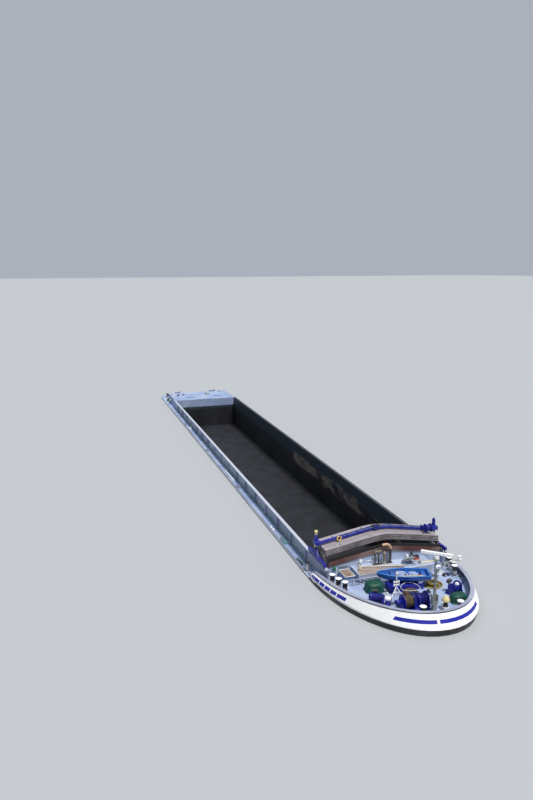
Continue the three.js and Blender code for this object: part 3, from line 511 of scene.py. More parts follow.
def hull_paint():
    """Black outside with a white bow, blue-grey on deck and scoured in the hold."""
    finish = Finish("hull_paint", 0.5)
    outside, rust = weather(finish, "17191d", 0.3, 0.2, 0.06)
    splash = 1 - finish.step(finish.height + 0.4 * finish.noise(0.8), 2.95, 3.4)
    outside = finish.mix(splash * 0.45, outside, paint("4a4038"))
    band = (finish.height > 3.485 - 0.024 * finish.aft) * (finish.aft < 7.81)
    outside = finish.mix(band, outside, finish.mix(stripe_mask(finish), paint("eeeef1"), STRIPE_BLUE))
    is_deck = (finish.facing_up > 0.7) * (finish.height > 3.0)
    in_hold = (abs(finish.port) < 4.03) * finish.aft.between(7.79, 60.52)
    in_hold = in_hold * (finish.height > 0.3) * (1 - is_deck)
    body = finish.mix(is_deck, outside, deck_colour(finish)[0])
    seams = finish.lines(finish.aft, 2.2, 0.03) * (1 - is_deck)
    grit = finish.noise(0.04, 3) * (0.4 + 0.8 * is_deck)
    relief = grit + finish.noise(0.9, 3) * 3.0 + seams * 0.8
    roughness = 0.5 + 0.25 * rust + 0.2 * in_hold + 0.12 * is_deck
    return finish.done(finish.mix(in_hold, body, hold_colour(finish)), relief, 0.004, roughness)


HULL_PAINT = hull_paint()
print("the hull's paint has", len(HULL_PAINT.node_tree.nodes), "nodes")

# %% Coamings and the deck behind the hold
def coaming_paint():
    """Blue-grey with a pale top at starboard, a dark top at port and scoured hold sides."""
    finish = Finish("coaming_paint", 0.55)
    body, rust = weather(finish, "8c99b4", 0.5, 0.7, 0.12)
    top = (finish.facing_up > 0.7) * (finish.height > 4.1)
    starboard = finish.port < 0.0
    body = finish.mix(top * starboard * 0.55, body, paint("cfd3de"))
    body = finish.mix(top * (1 - starboard) * 0.92, body, paint("2b2a33"))
    hold_side = (abs(finish.port) < 4.02) * finish.aft.between(7.9, 60.7) * (1 - top)
    relief = finish.noise(0.05, 3) + finish.noise(0.7, 3) * 2.0
    return finish.done(finish.mix(hold_side, body, hold_colour(finish)), relief, 0.004, 0.55 + 0.2 * rust)


def deck_paint():
    finish = Finish("deck_paint", 0.6)
    body, rust = deck_colour(finish)
    relief = finish.noise(0.04, 3) + finish.noise(0.9, 3) * 2.0
    return finish.done(body, relief, 0.004, 0.6 + 0.25 * rust)


COAMING_PAINT = coaming_paint()
DECK_PAINT = deck_paint()
print("the coamings' paint has", len(COAMING_PAINT.node_tree.nodes), "nodes")

# %% Bow bulwark with its stripe
def bulwark_paint():
    """White outside with the blue stripe, blue-grey inside, with painted shade on the aft part of the port
    inner face.
    """
    finish = Finish("bulwark_paint", 0.42)
    white, rust = weather(finish, "f1f1f3", 0.12, 0.16, 0.03)
    inner = weather(finish, "8493b3", 0.35, 0.6, 0.14)[0]
    # painted shade: the port inner face darkens to deep blue from 4.4 m aft of the bow tip
    painted_shade = finish.step(finish.aft, 4.4, 4.9) * (finish.aft < 7.7) * (finish.port > 0.0)
    inner = finish.mix(painted_shade * 0.75, inner, paint("33456e"))
    outwards = finish.facing_port * finish.port + finish.facing_fore * (8.5 - finish.aft)
    body = finish.mix(stripe_mask(finish), white, STRIPE_BLUE)
    relief = finish.noise(0.05, 3) * 0.6 + finish.noise(0.7, 3) * 2.5
    return finish.done(finish.mix(outwards > 1.5, inner, body), relief, 0.003, 0.42 + 0.25 * rust)


BULWARK_PAINT = bulwark_paint()
print("the bulwark's paint has", len(BULWARK_PAINT.node_tree.nodes), "nodes")

# %% Fore bulkhead: painted shadow under the covers, brown and blue-grey
# The gable of the covers: how round its ridge is and how far it falls, in half widths.
RIDGE_ROUND = 0.15
GABLE_FALL = math.hypot(1, RIDGE_ROUND) - RIDGE_ROUND


def bulkhead_paint():
    finish = Finish("bulkhead_paint", 0.6)
    brown, rust = weather(finish, "5c3228", 0.5, 0.8, 0.14)
    pale = weather(finish, "a5b5d2", 0.3, 0.4, 0.1)[0]
    share = finish.port / 3.88
    squares = {0: share * share + RIDGE_ROUND ** 2}
    fall = finish.node("ShaderNodeMath", {"operation": "SQRT"}, squares) - RIDGE_ROUND
    arch = 4.2 + 0.54 * (1 - fall / GABLE_FALL)
    above = finish.height > arch
    front = finish.facing_fore > 0.5
    # above arch + 0.33 the brown turns near-black: a painted shadow under the stowed covers
    upper = finish.mix(finish.height > arch + 0.33, brown, paint("1c1716"))
    body = finish.mix(above, pale, upper)
    colour = finish.mix(front + (1 - front) * above, hold_colour(finish), body)
    relief = finish.noise(0.05, 3) + finish.noise(0.8, 3) * 2.0
    return finish.done(colour, relief, 0.003, 0.6 + 0.2 * rust)


BULKHEAD_PAINT = bulkhead_paint()
print("the bulkhead's paint has", len(BULKHEAD_PAINT.node_tree.nodes), "nodes")

# %% Plain paints and bare metals
# name, colour, roughness, rust spots, grime, fading, size of the patches
ROYAL = steel_paint("royal_blue", "0a158c", 0.42, 0.2, 0.25, 0.02, 0.5)
CABLE = steel_paint("navy_cable", "0a137c", 0.6, 0.2, 0.3, 0.02, 0.4)
WHITE = steel_paint("white_paint", "eef0f2", 0.4, 0.2, 0.2, 0.04, 0.5)
BEIGE = steel_paint("beige_paint", "d3c2ac", 0.65, 0.3, 0.5, 0.12)
MAST_GREY = steel_paint("mast_grey", "878c8b", 0.45, 0.3, 0.4, 0.1, 0.5)
ZINC = steel_paint("galvanised", "aeb3b9", 0.5, 0.35, 0.5, 0.15, 0.5)
SOOT = steel_paint("exhaust_steel", "2c2622", 0.75, 0.9, 0.6, 0.1, 0.4)
BOAT_BLUE = steel_paint("dinghy_blue", "1056ae", 0.35, 0.05, 0.25, 0.05, 0.6)
BLACK = steel_paint("black_paint", "16171a", 0.45, 0.35, 0.2, 0.06, 0.4)
CREAM = steel_paint("cream_paint", "dccf96", 0.5, 0.2, 0.3, 0.05, 0.4)
YELLOW = steel_paint("yellow_paint", "ecc84e", 0.45, 0.2, 0.3, 0.06, 0.4)
GREEN = steel_paint("green_paint", "1f7a4a", 0.5, 0.2, 0.3, 0.08, 0.4)
STEEL = steel_paint("dark_steel", "3a3c42", 0.5, 0.6, 0.6, 0.14, 0.4)
RIM_BLUE = steel_paint("rim_blue", "2f7ccc", 0.35, 0.05, 0.25, 0.05, 0.6)
PALE_BLUE = steel_paint("pale_blue", "8fa6d8", 0.45, 0.2, 0.3, 0.08, 0.4)
BRASS = steel_paint("brass_pipe", "c79a78", 0.45, 0.3, 0.4, 0.12, 0.3)
TAN = steel_paint("tan_paint", "8d7c66", 0.6, 0.5, 0.6, 0.12, 0.3)
MAUVE = steel_paint("mauve_paint", "cbbfbf", 0.55, 0.3, 0.5, 0.1, 0.4)
LIP = steel_paint("cover_lip", "7b7377", 0.45, 0.5, 0.9, 0.16, 0.6)
PALE_BAG = steel_paint("pale_sheet", "7d9acb", 0.75, 0.0, 0.5, 0.2, 0.4)
GREY_BAG = steel_paint("grey_sheet", "3c5688", 0.8, 0.0, 0.5, 0.2, 0.4)
RED = steel_paint("red_paint", "b02a22", 0.5, 0.2, 0.3, 0.08, 0.4)
TEAL = steel_paint("teal_paint", "3f8f86", 0.6, 0.2, 0.5, 0.1, 0.4)
PALE_STEEL = steel_paint("pale_steel", "b7bfcc", 0.5, 0.3, 0.5, 0.12)
print(len(bpy.data.materials), "materials so far")

# %% Colours that change with the side of the steel: two paints on the hatch lids, painted shade on the sides elsewhere
def two_sided(name, upper, lower, roughness):
    """One weathered colour on top and another one on the sides: a second paint on the hatch lids, painted
    shade on the sides of the rail, the covers and the ladder.
    """
    finish = Finish(name, roughness)
    top, rust = weather(finish, upper, 0.5, 0.6, 0.15)
    side = weather(finish, lower, 0.4, 0.5, 0.12)[0]
    body = finish.mix(finish.facing_up > 0.6, side, top)
    return finish.done(body, finish.noise(0.05, 3) + rust * 0.6, 0.003, roughness + 0.25 * rust)


# the rail's near-black sides are painted shade under its edges
RAIL_PAINT = two_sided("rail_paint", "969cb6", "1d2028", 0.5)
# the covers' darker sides and fronts are painted shade of the metal on top
COVER_METAL = two_sided("cover_metal", "a39ca2", "54494c", 0.5)
HATCH_TAN = two_sided("hatch_tan", "9b8d76", "e9eaec", 0.6)
STORE_TAN = two_sided("store_tan", "93806f", "c9ced8", 0.65)
# the ladder is one grey: its near-white top is painted light and its dark blue-grey sides are painted shade
LADDER_GREY = two_sided("ladder_grey", "dde1e8", "66718a", 0.55)
print(len(bpy.data.materials), "materials so far")

# %% Engine trunk and bollards
def trunk_paint():
    """Deck grey with a tan patch at the fore starboard corner."""
    finish = Finish("trunk_paint", 0.62)
    body, rust = weather(finish, "a9b6d0", 0.4, 0.6, 0.12)
    tan = weather(finish, "8f8078", 0.5, 0.6, 0.12)[0]
    patch = (finish.aft < 7.02) * finish.port.between(-2.32, -0.85) * (finish.facing_up > 0.6)
    relief = finish.noise(0.05, 3) + rust * 0.6
    return finish.done(finish.mix(patch, body, tan), relief, 0.003, 0.62 + 0.2 * rust)


def bollard_paint():
    """A white top, a black post and a pale foot."""
    finish = Finish("bollard_paint", 0.45)
    black, rust = weather(finish, "17181b", 0.4, 0.2, 0.06, 0.4)
    white = weather(finish, "f0f1f4", 0.3, 0.3, 0.05, 0.4)[0]
    over = finish.height - (SIDE_DECK + (FOREDECK - SIDE_DECK) * (finish.aft < 20.0))
    top = (finish.facing_up > 0.7) * (over > 0.3)
    foot = over.between(0.10, 0.36) * finish.step(finish.noise(0.25), 0.35, 0.55)
    body = finish.mix(foot * 0.75, black, white)
    body = finish.mix(over < 0.06, body, paint("8b9bb8"))
    relief = finish.noise(0.03, 3) + rust
    return finish.done(finish.mix(top, body, white), relief, 0.003, 0.45 + 0.3 * rust)


TRUNK_PAINT = trunk_paint()
BOLLARD_PAINT = bollard_paint()
print(len(bpy.data.materials), "materials so far")

# %% Give every solid its finish
# Each finish lists how the names of its solids start. The first one that fits is taken.
PAINTED = {
    HULL_PAINT: "bow_section stern_section side_tank_ double_bottom",
    COAMING_PAINT: "coaming_ gunwale_",
    DECK_PAINT: "aft_deckhouse store_hatch_coaming",
    BULWARK_PAINT: "bow_bulwark",
    BULKHEAD_PAINT: "fore_bulkhead",
    RAIL_PAINT: "bulwark_cap_rail",
    BOLLARD_PAINT: "bollards_ bow_bollard_",
    ROYAL: "power_pack_ gantry_carriage_ lift_beam cable_reel mooring_winch_ coupling_winch_ windlass_",
    TRUNK_PAINT: "engine_trunk",
    HATCH_TAN: "engine_hatch_lid",
    STORE_TAN: "store_hatch_lid",
    BEIGE: "gangway",
    LADDER_GREY: "deck_ladder",
    WHITE: "signal_tripod radar_",
    MAST_GREY: "mast",
    SOOT: "exhaust_pipes",
    STEEL: "dinghy_chocks rope_tub",
    BOAT_BLUE: "dinghy",
    COVER_METAL: "hatch_cover_",
    GREEN: "green_cover_",
}
bare = []
for name, solid in nodes.items():
    fits = [finish for finish, starts in PAINTED.items() if name.startswith(tuple(starts.split()))]
    if not fits:
        bare.append(name)
        continue
    solid.data.materials.clear()
    solid.data.materials.append(fits[0])
    for face in solid.data.polygons:
        face.material_index = 0
print("solids with no paint of their own:", bare)

# %% [markdown]
# ## The dinghy
# The blue dinghy lies across the deck on two chocks, its pointed end to starboard and its
# wide transom to port. A boat's skin is easiest as a row of sections: each is a U that
# runs down the outside, round the keel and back up the inside, and all are joined into
# one closed shell. The rim, the thwarts and the bags that lie in it come after.

# %% Dinghy shell
DINGHY = (5.33, -0.04, FOREDECK + 0.46, -0.27)
DINGHY_LONG = 3.18
DINGHY_HALF = 0.61


def dinghy_section(t, inset=0.0, floor=0.0):
    """The U of the boat at t, from the pointed end (0) to the transom (1)."""
    half = DINGHY_HALF * math.sin(min(t / 0.6, 1.0) * math.pi / 2) ** 0.7
    half = max(half * (1 - 0.16 * smoothly((t - 0.55) / 0.45)) - inset, 0.012)
    rim = 0.40 + 0.06 * (1 - t) ** 3
    keel = 0.26 * max(1 - t / 0.28, 0.0) ** 1.6 + floor
    section = []
    for k in range(13):
        angle = math.pi * k / 12
        across = math.copysign(abs(math.cos(angle)) ** 0.75, math.cos(angle))
        down = math.sin(angle) ** 0.55
        section.append(Vector((half * across, DINGHY_LONG * (t - 0.5), rim - (rim - keel) * down)))
    return section


boat = Work(*DINGHY)
stations = [0.004, 0.02, 0.05, 0.09, 0.14, 0.2, 0.28, 0.38, 0.5, 0.62, 0.74, 0.86, 0.96, 1.0]
boat.sweep(BOAT_BLUE, [dinghy_section(t) + dinghy_section(t, 0.035, 0.045)[::-1] for t in stations])
transom = dinghy_section(0.985, 0.01, 0.01)
boat.sweep(BOAT_BLUE, [transom, [p - Vector((0, 0.05, 0)) for p in transom]])
rims = [[dinghy_section(t)[k] for t in stations] for k in (0, -1)]
for line in rims:
    boat.bar(RIM_BLUE, [p + Vector((0, 0, 0.005)) for p in line], 0.032, 8)
boat.bar(RIM_BLUE, [line[-1] for line in rims], 0.034, 8)
for y, wide in ((-0.62, 0.20), (0.28, 0.22), (1.26, 0.30)):
    reach = dinghy_section((y / DINGHY_LONG) + 0.5)[0].x - 0.04
    boat.block(BOAT_BLUE, (-reach, y - wide / 2, 0.27), (reach, y + wide / 2, 0.30), 0.01)
for x in (-0.2, 0.0, 0.2):
    boat.block(STEEL, (x - 0.08, -0.9, 0.055), (x + 0.08, 1.4, 0.075), 0.006)
boat.piece("dinghy_boat", "boat_blue", replaces=["dinghy"])
print("the dinghy is", DINGHY_LONG, "m long")

# %% What lies in the dinghy
def lump(work, finish, middle, size, seed):
    """A crumpled, closed lump, such as a stuffed bag."""
    part = bmesh.new()
    bmesh.ops.create_icosphere(part, subdivisions=4, radius=0.5)
    for vertex in part.verts:
        way = vertex.co.normalized()
        fold = noise.noise(way * 1.7 + Vector((seed, 0, 0)))
        fold += 0.5 * noise.noise(way * 4.1 + Vector((0, seed, 0)))
        crease = abs(noise.noise(way * 3.0 + Vector((0, 0, seed))))
        reach = 0.5 * (1 + 0.28 * fold + 0.14 * crease)
        vertex.co = Vector([c * reach * s for c, s in zip(way, size)])
        vertex.co.z = max(vertex.co.z, -0.21 * size[2])
    part.transform(Matrix.Translation(Vector(middle)))
    work.take(part, finish)


gear = Work(*DINGHY)
lump(gear, PALE_BAG, (-0.05, -0.15, 0.24), (0.62, 0.55, 0.30), 3.0)
lump(gear, PALE_BAG, (-0.18, 0.62, 0.22), (0.46, 0.50, 0.26), 7.0)
lump(gear, GREY_BAG, (0.16, 0.55, 0.20), (0.40, 0.66, 0.24), 11.0)
lump(gear, GREY_BAG, (0.05, -0.78, 0.17), (0.42, 0.34, 0.20), 17.0)
gear.bar(BEIGE, [(0.30, -0.95, 0.33), (0.24, 1.15, 0.34)], 0.022, 8)
gear.bar(BEIGE, [(0.36, -0.80, 0.33), (0.33, 1.25, 0.34)], 0.022, 8)
gear.bar(WHITE, [(-0.36, -0.3, 0.33), (-0.10, 0.1, 0.42), (0.22, 0.24, 0.36)], 0.018, 8)
gear.bar(STEEL, [(-0.42, -1.0, 0.34), (-0.30, 0.1, 0.33)], 0.015, 8)
gear.piece("dinghy_gear", "boat_blue")
print("four bags, two oars and two bars lie in the dinghy")

# %% [markdown]
# ## Pipes and gangway on the trunk
# The exhaust is a sooty thick pipe whose bend has gone brassy with heat. Two thin vents
# and a short tan one stand beside it. The gangway lies on its edge before them: an
# aluminium frame with a pale top tube, a panel with ribs and a broad beige foot.

# %% Pipes
pipes = Work(7.44, 0.0, TRUNK_TOP)
pipes.block(STEEL, (-0.11, -1.0, 0.0), (0.11, 0.35, 0.03), 0.008)
pipes.bar(SOOT, [(0, 0.2, 0.02), (0, 0.2, 0.5), (0, 0.2, 0.92)], 0.088, 18)
for z, radius in ((0.05, 0.13), (0.50, 0.098), (0.90, 0.108)):
    pipes.turned(SOOT, (0, 0.2, z), [(radius, -0.02), (radius, 0.02)], 18)
bend = arc((0, -0.13, 0.93), 0.33, 0, 92, 8, PORT, UP) + [Vector((0, -0.38, 1.24))]
pipes.bar(BRASS, bend, 0.084, 18)
pipes.turned(SOOT, (0, -0.384, 1.24), [(0.068, 0.0), (0.068, 0.004)], 18, (0, -1, 0))
for y in (-0.60, -0.85):
    pipes.bar(SOOT, [(0, y, 0.02), (0, y, 0.4), (0, y, 0.78)], 0.048, 12)
    pipes.bar(TAN, arc((0, y + 0.1, 0.78), 0.1, 180, 30, 8, PORT, UP), 0.046, 12)
    pipes.turned(SOOT, (0, y, 0.05), [(0.08, -0.02), (0.08, 0.02)], 12)
vent = [(0.13, 0.0), (0.13, 0.03), (0.085, 0.05), (0.085, 0.62), (0.10, 0.64), (0.10, 0.70), (0.05, 0.78),
        (0.0, 0.79)]
pipes.turned(TAN, (0.02, -0.22, 0.02), vent, 16)
pipes.piece("exhaust_and_vents", "exhaust_steel", replaces=["exhaust_pipes"])
print("the pipes stand on the trunk at", TRUNK_TOP)

# %% Gangway
plank = Work(6.70, -0.76, TRUNK_TOP + 0.003, -0.24)
plank.block(MAUVE, (-0.030, -1.40, 0.03), (0.030, 1.42, 0.215), 0.006)
plank.block(BEIGE, (-0.045, -1.42, 0.0), (0.045, 1.42, 0.045), 0.012)
plank.block(BEIGE, (-0.048, -1.42, 0.20), (0.048, 1.42, 0.25), 0.014)
for i in range(13):
    y = -1.2 + 0.2 * i
    plank.block(MAUVE, (-0.042, y - 0.018, 0.04), (0.042, y + 0.018, 0.205), 0.005)
plank.block(BEIGE, (-0.12, -1.425, 0.0), (0.12, -1.27, 0.25), 0.03)
plank.turned(STEEL, (-0.045, 1.37, 0.05), [(0.05, 0.0), (0.05, 0.09)], 16, AHEAD)
plank.piece("gangway_frame", "beige_paint", replaces=["gangway"])
print("the gangway has 13 ribs")

# %% [markdown]
# ## Stowed hatch covers and the gantry
# The stacked covers show as layers: each plate has a lip along its front and rear edge
# and a dark gap under it. The beam over them carries a yellow and black warning ring, a
# dark clamp at the ridge and, at the port end, a reel with its wound cable.

# %% Lips and seams of the covers
def gable(share):
    """1 at the ridge and 0 at both ends, with a rounded ridge."""
    fall = math.hypot(share, RIDGE_ROUND) - RIDGE_ROUND
    return 1 - fall / GABLE_FALL


COVER_FOOT = 4.74
COVER_HALF = 3.96
COVER_FRONT = 27.0
COVER_STEP = 0.1056
GABLE_RISE = 0.60


def cover_height(port):
    """Height of the lowest cover at so much to port."""
    return COVER_FOOT + GABLE_RISE * gable(port / COVER_HALF)


ridge_line = [-3.94 + 7.88 * i / 32 for i in range(33)]
for number in range(4):
    lips = Work()
    low = number * COVER_STEP
    for aft, proud in ((7.995, 0.022), (9.705, -0.022)):
        x = LENGTH / 2 - aft + proud * 0.3
        rings = []
        for y in ridge_line:
            z = cover_height(y) + low + 0.075
            rings.append([(x, y, z - 0.028), (x + proud, y, z - 0.022), (x + proud, y, z + 0.028),
                          (x, y, z + 0.034)])
        lips.sweep(LIP, rings)
    for y in (-3.1, -2.2, -1.3, -0.45, 0.45, 1.3, 2.2, 3.1):
        z = cover_height(y) + low
        low_corner = (COVER_FRONT - 0.01, y - 0.03, z + 0.004)
        lips.block(LIP, low_corner, (COVER_FRONT + 0.018, y + 0.03, z + 0.10), 0.005)
    lips.piece("cover_lips_%d" % (number + 1), "cover_alloy")

seams = Work()
top = 4 * COVER_STEP - 0.0006
for aft in (8.42, 8.85, 9.28):
    x = LENGTH / 2 - aft
    rings = []
    for y in ridge_line:
        z = cover_height(y) + top
        rings.append([(x - 0.02, y, z - 0.004), (x + 0.02, y, z - 0.004), (x + 0.012, y, z + 0.012),
                      (x - 0.012, y, z + 0.012)])
    seams.sweep(LIP, rings)
for y in (-2.9, -0.9, 0.9, 2.9):
    for aft in (8.15, 9.5):
        foot = (LENGTH / 2 - aft, y, cover_height(y) + top - 0.01)
        seams.turned(STEEL, foot, [(0.05, 0), (0.05, 0.035), (0.03, 0.05), (0, 0.05)], 12)
seams.piece("cover_seams", "cover_alloy")
print("the highest cover tops out at", round(cover_height(0) + top, 2))

# %% Lifting beam gear
BEAM_AFT = 8.8
BEAM_FOOT = 5.23
BEAM_HALF = 4.08
BEAM_FLAT = 0.55


def beam_height(port):
    """Height of the beam: it rises evenly to a flat top at the ridge."""
    share = (BEAM_HALF - abs(port)) / (BEAM_HALF - BEAM_FLAT)
    return BEAM_FOOT + GABLE_RISE * min(1.0, share)


beam_gear = Work()
front = LENGTH / 2 - BEAM_AFT
ridge = beam_height(0)
for start, turn, finish in ((0, 60, YELLOW), (60, 30, BLACK), (90, 150, YELLOW), (240, 25, BLACK),
                            (265, 95, YELLOW)):
    path = arc((front + 0.185, -2.8, beam_height(-2.8) + 0.12), 0.135, start, start + turn, 6, PORT, UP)
    beam_gear.bar(finish, path, 0.04, 10)
for y in (-0.40, -0.08):
    beam_gear.block(BLACK, (front - 0.16, y, ridge - 0.03), (front + 0.16, y + 0.08, ridge + 0.27), 0.01)
beam_gear.bar(BLACK, [(front, -0.55, ridge + 0.22), (front, 0.15, ridge + 0.22)], 0.05, 12)
beam_gear.bar(STEEL, [(front + 0.1, -0.2, ridge - 0.02), (front + 0.1, -0.2, ridge - 0.01)], 0.06, 12)
for y in (-2.2, -1.5, 0.8, 1.6, 2.4):
    z = beam_height(y)
    slope = math.atan2(beam_height(y + 0.05) - beam_height(y - 0.05), 0.1)
    tilt = Matrix.Rotation(slope, 3, "X")
    low, high = (front - 0.115, y - 0.05, z - 0.01), (front + 0.115, y + 0.05, z + 0.195)
    beam_gear.block(ROYAL, low, high, 0.008, tilt)
# a thin pale blue bar along the beam's upper front edge is a painted highlight
highlight_line = []
conduit = []
for i in range(25):
    t = i / 24
    y = -2.7 + 5.7 * t
    highlight_line.append((front + 0.102, y, beam_height(y) + 0.165))
    y = -2.55 + 5.4 * t
    conduit.append((front + 0.06, y, beam_height(y) + 0.198 + 0.012 * math.sin(9 * t)))
beam_gear.bar(PALE_BLUE, highlight_line, 0.011, 6)
beam_gear.bar(BLACK, conduit, 0.018, 8)
beam_gear.piece("lift_beam_gear", "royal_blue", "lift_beam")
print("the beam's ridge is at", round(ridge, 2))

# %% [markdown]
# ## Tarpaulins
# Two pieces of gear on the foredeck are tied up in green tarpaulins. Each cloth is one
# skin: it lies over the thing below, falls down its sides in folds, and ends in a hem
# that spreads a little on the deck.

# %% Tarpaulins over the gear
def tarp_finish():
    finish = Finish("tarpaulin_green", 0.55)
    creases = finish.noise(0.12, 5)
    # the green is darker in the hollows of the creases and lighter on their crests: painted shade and
    # painted highlight that follow the relief
    painted_shade = finish.step(creases, 0.35, 0.7)
    return finish.done(finish.mix(painted_shade, paint("04302a"), paint("0a5a49")), creases, 0.012)


TARPAULIN = tarp_finish()
AROUND = 72
# side, aft, port, half length, half width, height, folds, seed, side of the square cloth
TARPS = [
    ("starboard", 5.33, -1.93, 0.44, 0.51, 0.575, 9, 2.0, 0.80),
    ("port", 2.72, 2.13, 0.335, 0.475, 0.475, 7, 9.0, 0.66),
]
# the share of the half size and of the height, from the crown down to the hem
FALL = [(0.18, 1.0), (0.42, 0.995), (0.66, 0.985), (0.80, 0.93), (0.93, 0.80), (0.99, 0.62), (1.02, 0.42),
        (1.04, 0.22), (1.07, 0.07), (1.13, 0.022)]
for side, aft, port, long, wide, high, folds, seed, cut in TARPS:
    cover = Work(aft, port, FOREDECK)
    cloth = bmesh.new()
    rings = []
    for share, rise in FALL:
        ring = []
        for i in range(AROUND):
            angle = FULL_TURN * i / AROUND
            c, s = math.cos(angle), math.sin(angle)
            wave = math.sin(folds * angle + seed) + 0.5 * noise.noise(Vector((3 * c, 3 * s, seed)))
            grow = max(1 + (0.045 * wave + 0.012) * (1 - rise), 1.0)
            x = share * long * grow * math.copysign(abs(c) ** 0.62, c)
            y = share * wide * grow * math.copysign(abs(s) ** 0.62, s)
            sag = 0.012 * noise.noise(Vector((4 * x, 4 * y, seed)))
            ring.append(cloth.verts.new((x, y, rise * high + sag * (rise > 0.9) + 0.012)))
        rings.append(ring[::-1])
    crown = cloth.verts.new((0, 0, high + 0.02))
    skin(cloth, [[crown]] + rings, ends=False)
    cover.take(cloth, TARPAULIN)
    made = cover.piece("tarpaulin_" + side, "green_tarpaulin")
    area = sum(face.area for face in made.data.polygons)
    print("the", side, "tarpaulin has", round(area, 3), "square metres, cut", round(cut * cut, 3))

# %% [markdown]
# ## Gear on the winches
# The drums carry wound rope, which turns with them. Each winch has a handwheel for its
# brake, and the starboard windlass has a warping head at its outer end.

# %% Rope on the drums
def wound(radius, half, thick):
    """The profile of rope laid side by side on a drum."""
    profile = [(radius - 0.03, -half), (radius, -half)]
    for k in range(int(2 * half / thick)):
        middle = -half + (k + 0.5) * thick
        for share, lift in ((-0.5, 0.0), (-0.3, 0.38), (0.0, 0.5), (0.3, 0.38), (0.5, 0.0)):
            profile.append((radius + thick * lift, middle + thick * share))
    return profile + [(radius, half), (radius - 0.03, half)]


DRUM_HALF = 0.262
WHEEL_UP = (0.4, 0, 0.92)
WARPING_HEAD = [(0.045, 0.40), (0.045, 0.46), (0.17, 0.465), (0.175, 0.49), (0.11, 0.55), (0.10, 0.63),
                (0.15, 0.71), (0.155, 0.735), (0.0, 0.74)]
# winch, aft, port, deck, turn, axle height, drum radius, rope, radius of the wound rope
WINCHES = [
    ("windlass_starboard", 2.80, -1.13, FOREDECK, 0.0, 0.50, 0.26, BROWN_ROPE, 0.315),
    ("windlass_port", 2.80, -0.24, FOREDECK, 0.0, 0.50, 0.26, CABLE, 0.300),
    ("mooring_winch_starboard", 3.82, -2.52, FOREDECK, -0.45, 0.42, 0.19, CABLE, 0.225),
    ("mooring_winch_port", 3.60, 2.45, FOREDECK, 0.45, 0.42, 0.19, CABLE, 0.225),
    ("coupling_winch_starboard", 67.90, -2.55, SIDE_DECK, 0.0, 0.42, 0.19, CABLE, 0.225),
    ("coupling_winch_port", 67.90, 2.55, SIDE_DECK, 0.0, 0.42, 0.19, CABLE, 0.225),
]
for name, aft, port, deck, turn, axle, radius, finish, reach in WINCHES:
    wraps = Work(aft, port, deck, turn)
    thick = 0.03 if finish is CABLE else 0.05
    wraps.turned(finish, (0, 0, axle), wound(reach, DRUM_HALF, thick), 28, PORT)
    inmost = [(radius + 0.004, -DRUM_HALF), (radius + 0.004, DRUM_HALF)]
    wraps.turned(finish, (0, 0, axle), inmost, 28, PORT)
    if name == "windlass_starboard":
        wraps.turned(ROYAL, (0, 0, axle), WARPING_HEAD, 20, (0, -1, 0))
    wraps.piece(name + "_rope", "rope", name + "_drum")

    gear = Work(aft, port, deck, turn)
    hub = Vector((0.36, 0.30, axle + 0.33))
    gear.bar(ROYAL, arc(hub, 0.13, 0, 360, 20, PORT, WHEEL_UP), 0.014, 8)
    for angle in (0, 60, 120):
        gear.bar(ROYAL, arc(hub, 0.13, angle, angle + 180, 1, PORT, WHEEL_UP), 0.009, 6)
    gear.bar(STEEL, [hub, hub + Vector((-0.16, 0, -0.30)), (0.22, 0.38, 0.08)], 0.018, 8)
    gear.block(ROYAL, (-0.34, -0.43, 0.06), (-0.18, -0.33, 0.30), 0.02)
    for side in (-1, 1):
        bearing = [(0.13, 0), (0.13, 0.012), (0.085, 0.02)]
        gear.turned(ROYAL, (0, side * 0.434, axle), bearing, 20, (0, side, 0))
    for x in (-0.36, 0.36):
        for y in (-0.37, 0.37):
            gear.turned(ZINC, (x, y, 0.058), [(0.03, 0), (0.03, 0.03), (0.0, 0.03)], 6)
    gear.piece(name + "_gear", "royal_blue")
print(len(WINCHES), "winches have rope and brakes")

# %% Motors beside the mooring winches
motors = Work(3.82, -2.52, FOREDECK, -0.45)
motors.bar(WHITE, [(0.05, 0.50, 0.40), (0.05, 0.80, 0.40)], 0.14, 20)
motors.turned(STEEL, (0.05, 0.80, 0.40), [(0.12, 0), (0.12, 0.05), (0.0, 0.05)], 20, PORT)
motors.block(ROYAL, (-0.10, 0.48, 0.0), (0.20, 0.80, 0.28), 0.02)
motors.bar(BLACK, [(-0.28, -0.26, 0.66), (-0.28, 0.06, 0.66)], 0.11, 18)
motors.bar(STEEL, [(-0.28, -0.10, 0.56), (-0.30, -0.10, 0.06)], 0.03, 8)
motors.piece("mooring_motor_starboard", "royal_blue")
motors = Work(3.60, 2.45, FOREDECK, 0.45)
dome = [(0.0, 0), (0.09, 0.02), (0.12, 0.09), (0.09, 0.17), (0.0, 0.20)]
motors.turned(WHITE, (0.24, -0.20, 0.66), dome, 18)
motors.block(ROYAL, (0.12, -0.39, 0.40), (0.36, -0.10, 0.66), 0.02)
motors.block(BLACK, (-0.42, -0.30, 0.62), (-0.24, 0.06, 0.80), 0.02)
motors.bar(ROYAL, [(-0.33, -0.12, 0.06), (-0.33, -0.12, 0.64)], 0.04, 8)
motors.piece("mooring_motor_port", "royal_blue")
print("both mooring winches have a motor")

# %% [markdown]
# ## Small gear on the foredeck
# The many small things that give the deck its busy look: a capstan post with a pale cap,
# a white bit, a chock, poles, boxes and valves, stiff hoops round the coil and the tub, and a
# black ring of painted shade at the coil. Heights are over a datum 2.6 m above the keel, where the foredeck
# lies at 0.9.

